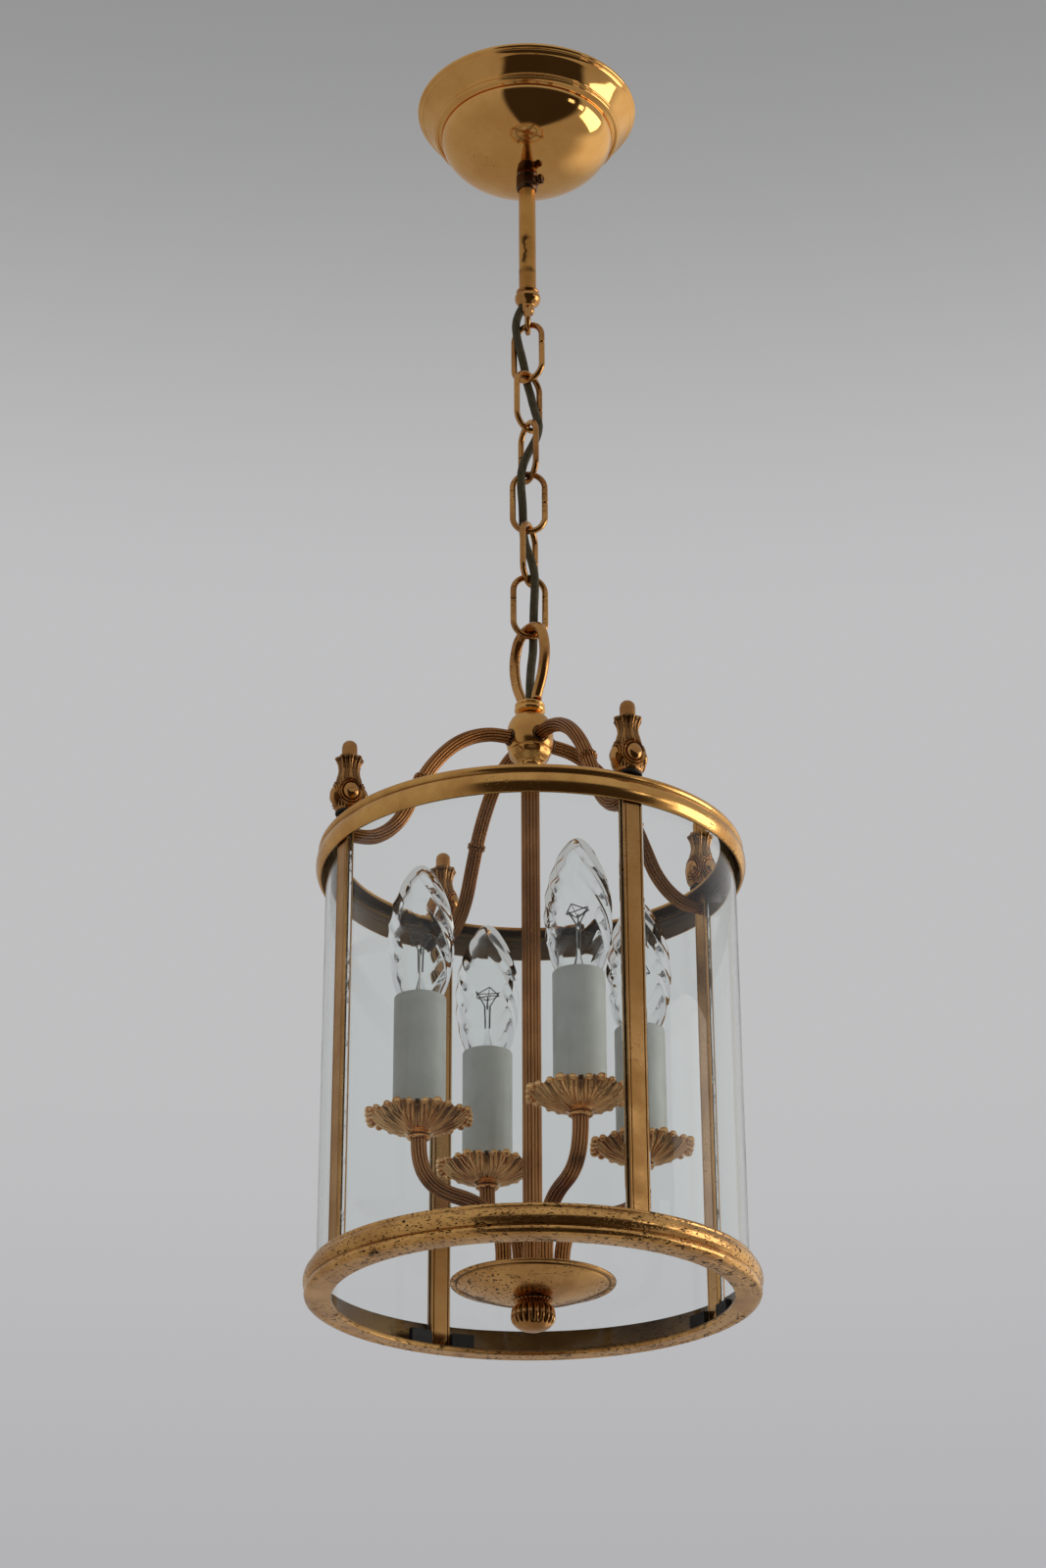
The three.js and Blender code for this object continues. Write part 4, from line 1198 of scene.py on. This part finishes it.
def knob():
    """A gadrooned ball with a plain button under it and a fluted collar that flares against the dish."""
    s = seat("knob")
    top, bottom, radius = s.top, s.bottom, s.radius
    neck = bottom + 13.4
    base = outline(
        (0, bottom), (3.4, bottom + 0.1, 2), (7.6, bottom + 1.4, 2), (9.6, bottom + 3.4, 0.6),
        (radius - 0.6, bottom + 5.2, 1), (radius - 0.1, bottom + 8, 2), (radius - 0.6, bottom + 11, 1.5),
        (radius - 1.8, neck - 0.8, 0.6), (radius - 3.2, neck, 0.4), (7.6, neck + 0.5, 0.3),
        (8.2, top - 1.4, 0.8), (10.4, top, 0.3), (0, top),
    )

    def gadroons(angle, radius_in, height):
        z = height - bottom
        on_ball = ramp(z - 2.6, 1.6) * ramp(neck - 0.2 - height, 1.2)
        on_collar = ramp(height - neck - 0.4, 0.5) * (radius_in > 5)
        lobes = 1 - np.abs(np.cos(10 * angle))
        flutes = 1 - np.abs(np.cos(13 * angle))
        chased = np.abs(np.cos(3 * angle + 0.5 * z))
        button = ramp(3 - z, 1.5)
        # The gadroons' and flutes' hollows are darkened as painted shade with patina, and the waist between
        # the ball and the collar as painted shade.
        waist = 0.6 * bell(height - neck - 0.1, 0.3)
        cut_in = 1.3 * on_ball * lobes + 0.9 * on_collar * flutes + 0.25 * button * (1 - chased)
        hollow = on_ball * lobes**1.4 + 0.5 * on_collar * flutes**2.5 + waist
        return radius_in - cut_in, height, np.clip(hollow, 0, 1)

    show("knob", [turn(spaced(base, 100), 280, gadroons)], CHASED)


def candle_arm_mesh():
    s = seat("candle_arm_1")
    route = smooth_path(in_plane([
        (16, s.bottom), (16.1, -710), (18, -701), (23, -693.5), (30, -689), (37.5, -686.6), (45.5, -685),
        (53.3, -681.6), (59, -675), (61.5, -666), (CANDLE_RING, s.top),
    ]), 130)
    return mesh_of("candle_arm", [sweep(route, reeds(CANDLE_ARM_RADIUS, 14, 0.62), 140)], REEDED)


LEAVES = 8


def curled_tips(rim):
    """The knobs that a drip pan's leaves end in: a big one at each tip, a smaller one on both sides."""
    knobs = []
    for size, out, turned in ((2.4, 26.5, 0), (1.9, 25.7, -1), (1.9, 25.7, 1)):
        arc = np.linspace(-math.pi / 2, math.pi / 2, 12)
        ball = turn(np.column_stack([size * np.cos(arc), 0.9 * size * np.sin(arc)]), 20)
        for leaf in range(LEAVES):
            angle = (leaf + 0.3 * turned) * 2 * math.pi / LEAVES
            level = rim - 0.95 * size - 0.7 * abs(turned)
            knobs.append(ball.moved(about_z(angle) @ shift(out, 0, level)))
    return knobs


def bobeche_mesh():
    """A drip pan: eight leaves over a bead. The leaves are veined below and end in knobs."""
    s = seat("bobeche_1")
    bead = 3.2  # how far the bead reaches down over the end of the arm
    foot, floor, rim = s.bottom - bead, -649.0, -644.3
    line = outline(
        (0, foot), (4.9, foot, 0.4), (6.4, foot + 0.9, 0.7), (5.7, foot + 1.9, 0.4), (4.9, foot + 2.4, 0.4),
        (6.2, foot + 3.1, 0.5), (7.2, foot + 3.6, 0.4), (12.5, foot + 4.8, 3), (19.5, foot + 7.8, 3),
        (23.6, foot + 11.2, 1.5), (24.9, rim - 2.4, 0.8), (24.8, rim - 1.6, 0.5), (23.8, rim - 1.6, 0.5),
        (22, rim - 2.8, 2), (19.6, floor + 1.3, 2), (16, floor, 1), (0, floor),
    )
    profile = spaced(line, 150)
    below = (np.arange(len(profile)) <= np.argmax(profile[:, 0]))[:, None]

    def leaves(angle, radius_in, height):
        out = ramp(radius_in - 7.2, 18.2)
        leaf = np.abs(np.cos(LEAVES / 2 * angle))
        knob = np.abs(np.cos(LEAVES * 1.5 * angle))
        bend = 0.07 * np.sin(LEAVES * angle) * np.cos(2.6 * out)
        vein = np.abs(np.cos(3 * LEAVES * (angle + bend)))
        cleft = bell(leaf, 0.2) + 0 * out
        furrow = (1 - knob) ** 2 + 0 * out
        grooves = np.sqrt(out) * (1.3 * (1 - vein) ** 1.3 + 0.8 * furrow * out) + 2.2 * cleft * out**1.3
        wave = out**4 * (1.2 * leaf - 0.8)
        scallop = out**5 * (2.4 * (leaf**0.5 - 0.95) + 0.9 * (knob**0.6 - 0.9))
        lifted = height + wave + np.where(below, 0.85, -0.3) * grooves
        # The veins, furrows and clefts are darkened as painted shade with patina; the bell at the bead's
        # waist is painted shade.
        hollow = np.sqrt(out) * (0.8 * (1 - vein) ** 1.8 + 0.4 * furrow * out) + 0.8 * cleft * out
        hollow = hollow + 0.9 * bell(height - foot - 2.5, 0.45)
        return radius_in + scallop - np.where(below, 0.3, 0) * grooves, lifted, np.clip(hollow, 0, 1)

    surfaces = [turn(profile, 432, leaves), *curled_tips(rim)]
    return mesh_of("bobeche", [on_candle(surface) for surface in surfaces], CAST, 60)


def lamp_holder_mesh():
    s = seat("lamp_holder_1")
    top, bottom = s.top, s.bottom
    seat_z, bore, radius = -620.0, 7.4, 11.3
    profile = outline(
        (0, bottom), (8, bottom), (8, bottom + 3), (radius, bottom + 5, 1), (radius, top - 9, 0.3),
        (radius - 0.5, top - 8.6, 0.2), (radius, top - 8.2, 0.3), (radius, top - 1.2, 0.6),
        (radius - 1, top, 0.6), (bore, top, 0.5), (bore, seat_z), (0, seat_z),
    )

    def ribbed(angle, radius_in, height):
        on_skirt = (radius_in > 11) & (height < top - 10) & (height > bottom + 6)
        rib = on_skirt * np.abs(np.sin(16 * angle))
        return radius_in - 0.35 * rib, height, 0 * rib

    return mesh_of("lamp_holder", [on_candle(turn(spaced(profile, 110), 160, ribbed))], BLACK)


def candle_sleeve_mesh():
    s = seat("candle_sleeve_1")
    inner, outer = 12.2, 13.4
    top, bottom = s.top, s.bottom
    profile = outline((inner, bottom, 0.3), (outer, bottom, 0.3), (outer, top, 0.8), (inner, top, 0.3))
    return mesh_of("candle_sleeve", [on_candle(turn(profile, 96, closed=True))], SLEEVE)


BULB_TOP = seat("bulb_1").top
# How far below a bulb's tip its glass meets the cap, and its leads come out of their glass stem.
BULB_NECK, LEADS_END = 79.0, 47.0


def bulb_glass_mesh():
    """A thin glass flame with twisted flutes."""
    widest, wall = 17.5, 0.5
    flutes, twist, depth = 11, 0.045, 0.04
    line = smooth_path(
        [(0, 0), (2.4, 0.5), (5.2, 2.9), (9.7, 9.6), (14, 20), (16.6, 30.5), (widest, 44), (16.8, 55),
         (14.4, 66), (11.5, 73.5), (9.6, 77), (7.4, BULB_NECK)], 110
    )
    inside = line * [(1 - wall / widest), 1] + [0, wall]
    inside = inside[inside[:, 1] < BULB_NECK]
    profile = np.vstack([line, inside[::-1]]) * [1, -1] + [0, BULB_TOP]

    def twisted(angle, radius, height):
        down = BULB_TOP - height
        on = ramp(down, 16) * ramp(72 - down, 18)
        flute = np.abs(np.sin(flutes / 2 * (angle - twist * down)))
        return radius * (1 - depth * on * flute), height, 0 * radius

    return mesh_of("bulb", [on_candle(turn(profile, 192, twisted))], BULB_GLASS, 70)


def straight(start, end, radius, around=12):
    path = np.linspace(start, end, 6)
    return sweep(path, radius, around)


def filament_mesh():
    """Two leads, a star of fine supports, and the zigzag filament that hangs on them."""
    mount, level = BULB_TOP - LEADS_END, BULB_TOP - 40
    parts = [straight((side * 1.1, 0, BULB_TOP - 60), (side * 1.5, 0, mount), 0.42) for side in (-1, 1)]
    parts += [straight((side * 1.5, 0, mount), (side * 6, side * 1.5, level + 1), 0.34) for side in (-1, 1)]
    tips = []
    for k in range(5):
        a = math.pi * (0.16 + k * 0.42)
        tips.append((6.4 * math.cos(a), 6.4 * math.sin(a), level + (1.6 if k % 2 else -1.2)))
        parts.append(straight((0, 0, mount + 3), tips[-1], 0.17, 8))
    parts.append(straight((0, 0, mount - 2), (0, 0, mount + 5), 0.4))
    zigzag = np.array([(-6, -1.5, level + 1), *tips, (6, 1.5, level + 1)], float)
    parts.append(sweep(spaced(zigzag, 60), 0.28, 8))
    return mesh_of("filament", [on_candle(part) for part in parts], WIRE)


def glass_stem_mesh():
    """The glass foot inside a bulb that carries the leads."""
    top = BULB_TOP - LEADS_END
    profile = outline(
        (0, top), (0.8, top, 0.3), (1, top - 1.5, 0.3), (0.7, top - 3, 0.5), (0.9, top - 16, 2),
        (2.6, top - 23, 3), (5.6, top - 31), (0, top - 31),
    )
    return mesh_of("bulb_stem", [on_candle(turn(profile, 48))], BULB_GLASS)


def bulb_cap_mesh():
    """The threaded cap, mostly inside its holder."""
    bottom = seat("bulb_1").bottom
    top = BULB_TOP - BULB_NECK - 0.1
    base = outline(
        (0, bottom), (2.6, bottom, 0.5), (3.2, bottom + 1.4, 0.4), (6.1, bottom + 3, 0.6),
        (6.5, bottom + 4, 0.3), (6.6, top - 3, 0.3), (6.9, top - 1, 0.4), (6.9, top, 0.2), (0, top),
    )

    def thread(angle, radius, height):
        on = ramp(height - bottom - 4, 2) * ramp(top - 3.5 - height, 2)
        wave = 0.5 + 0.5 * np.cos(2 * math.pi * height / 2.82 - angle)
        return radius - 0.45 * on * wave, height, 0.3 * on * wave

    return mesh_of("bulb_cap", [on_candle(turn(spaced(base, 120), 64, thread))], ALUMINIUM)


BULB_TURNS = [20, 65, 130, 200]  # degrees: how each bulb happens to be screwed in


def candles():
    fixed = {
        "candle_arm": (candle_arm_mesh(), "reeded_brass"),
        "bobeche": (bobeche_mesh(), "cast_brass"),
        "lamp_holder": (lamp_holder_mesh(), "black_plastic"),
        "candle_sleeve": (candle_sleeve_mesh(), "sleeve_plastic"),
    }
    inside = {
        "filament": (filament_mesh(), "zinc_steel"),
        "bulb_stem": (glass_stem_mesh(), "bulb_glass"),
        "bulb_cap": (bulb_cap_mesh(), "zinc_steel"),
    }
    glass = bulb_glass_mesh()
    to_axis, from_axis = shift(-CANDLE_RING, 0, 0), shift(CANDLE_RING, 0, 0)
    for k in range(FOLD):
        place = about_z(CANDLE_TURN + k * math.pi / 2)
        for name, (mesh, slot) in fixed.items():
            stand_for(f"{name}_{k + 1}", copy_of(mesh, place))
        screwed = place @ from_axis @ about_z(math.radians(BULB_TURNS[k])) @ to_axis
        stand_for(f"bulb_{k + 1}", copy_of(glass, screwed))
        for name, (mesh, slot) in inside.items():
            extra(f"{name}_{k + 1}", copy_of(mesh, screwed), f"bulb_{k + 1}")


def quarter_pieces():
    """The pieces of the cage that repeat on its four sides."""
    shapes = {
        "scroll_arm": (scroll_arm_mesh(), "reeded_brass"),
        "upright": (upright_mesh(), "aged_brass"),
        "glass_panel": (glass_panel_mesh(), "panel_glass"),
    }
    for name, (mesh, slot) in shapes.items():
        for k in range(FOLD):
            stand_for(f"{name}_{k + 1}", copy_of(mesh, quarter(k)))


# ---- assembly -----------------------------------------------------------------------------------
make_camera()
make_world()
make_lights()
make_floor()
CEILING_END = (ceiling_hook, terminal_block, canopy, grip_collar, grip_screw, stem, stem_eye, stem_end)
CHAIN = (inner_flex, chain, woven_flex)
LANTERN = (
    hanging_bow, neck_collar, hub, centre_rod, top_ring, bottom_ring, quarter_pieces, glass_pads, finials,
    dish, knob, candles,
)
for build in CEILING_END + CHAIN + LANTERN:
    build()

bpy.context.scene.view_settings.view_transform = "Standard"
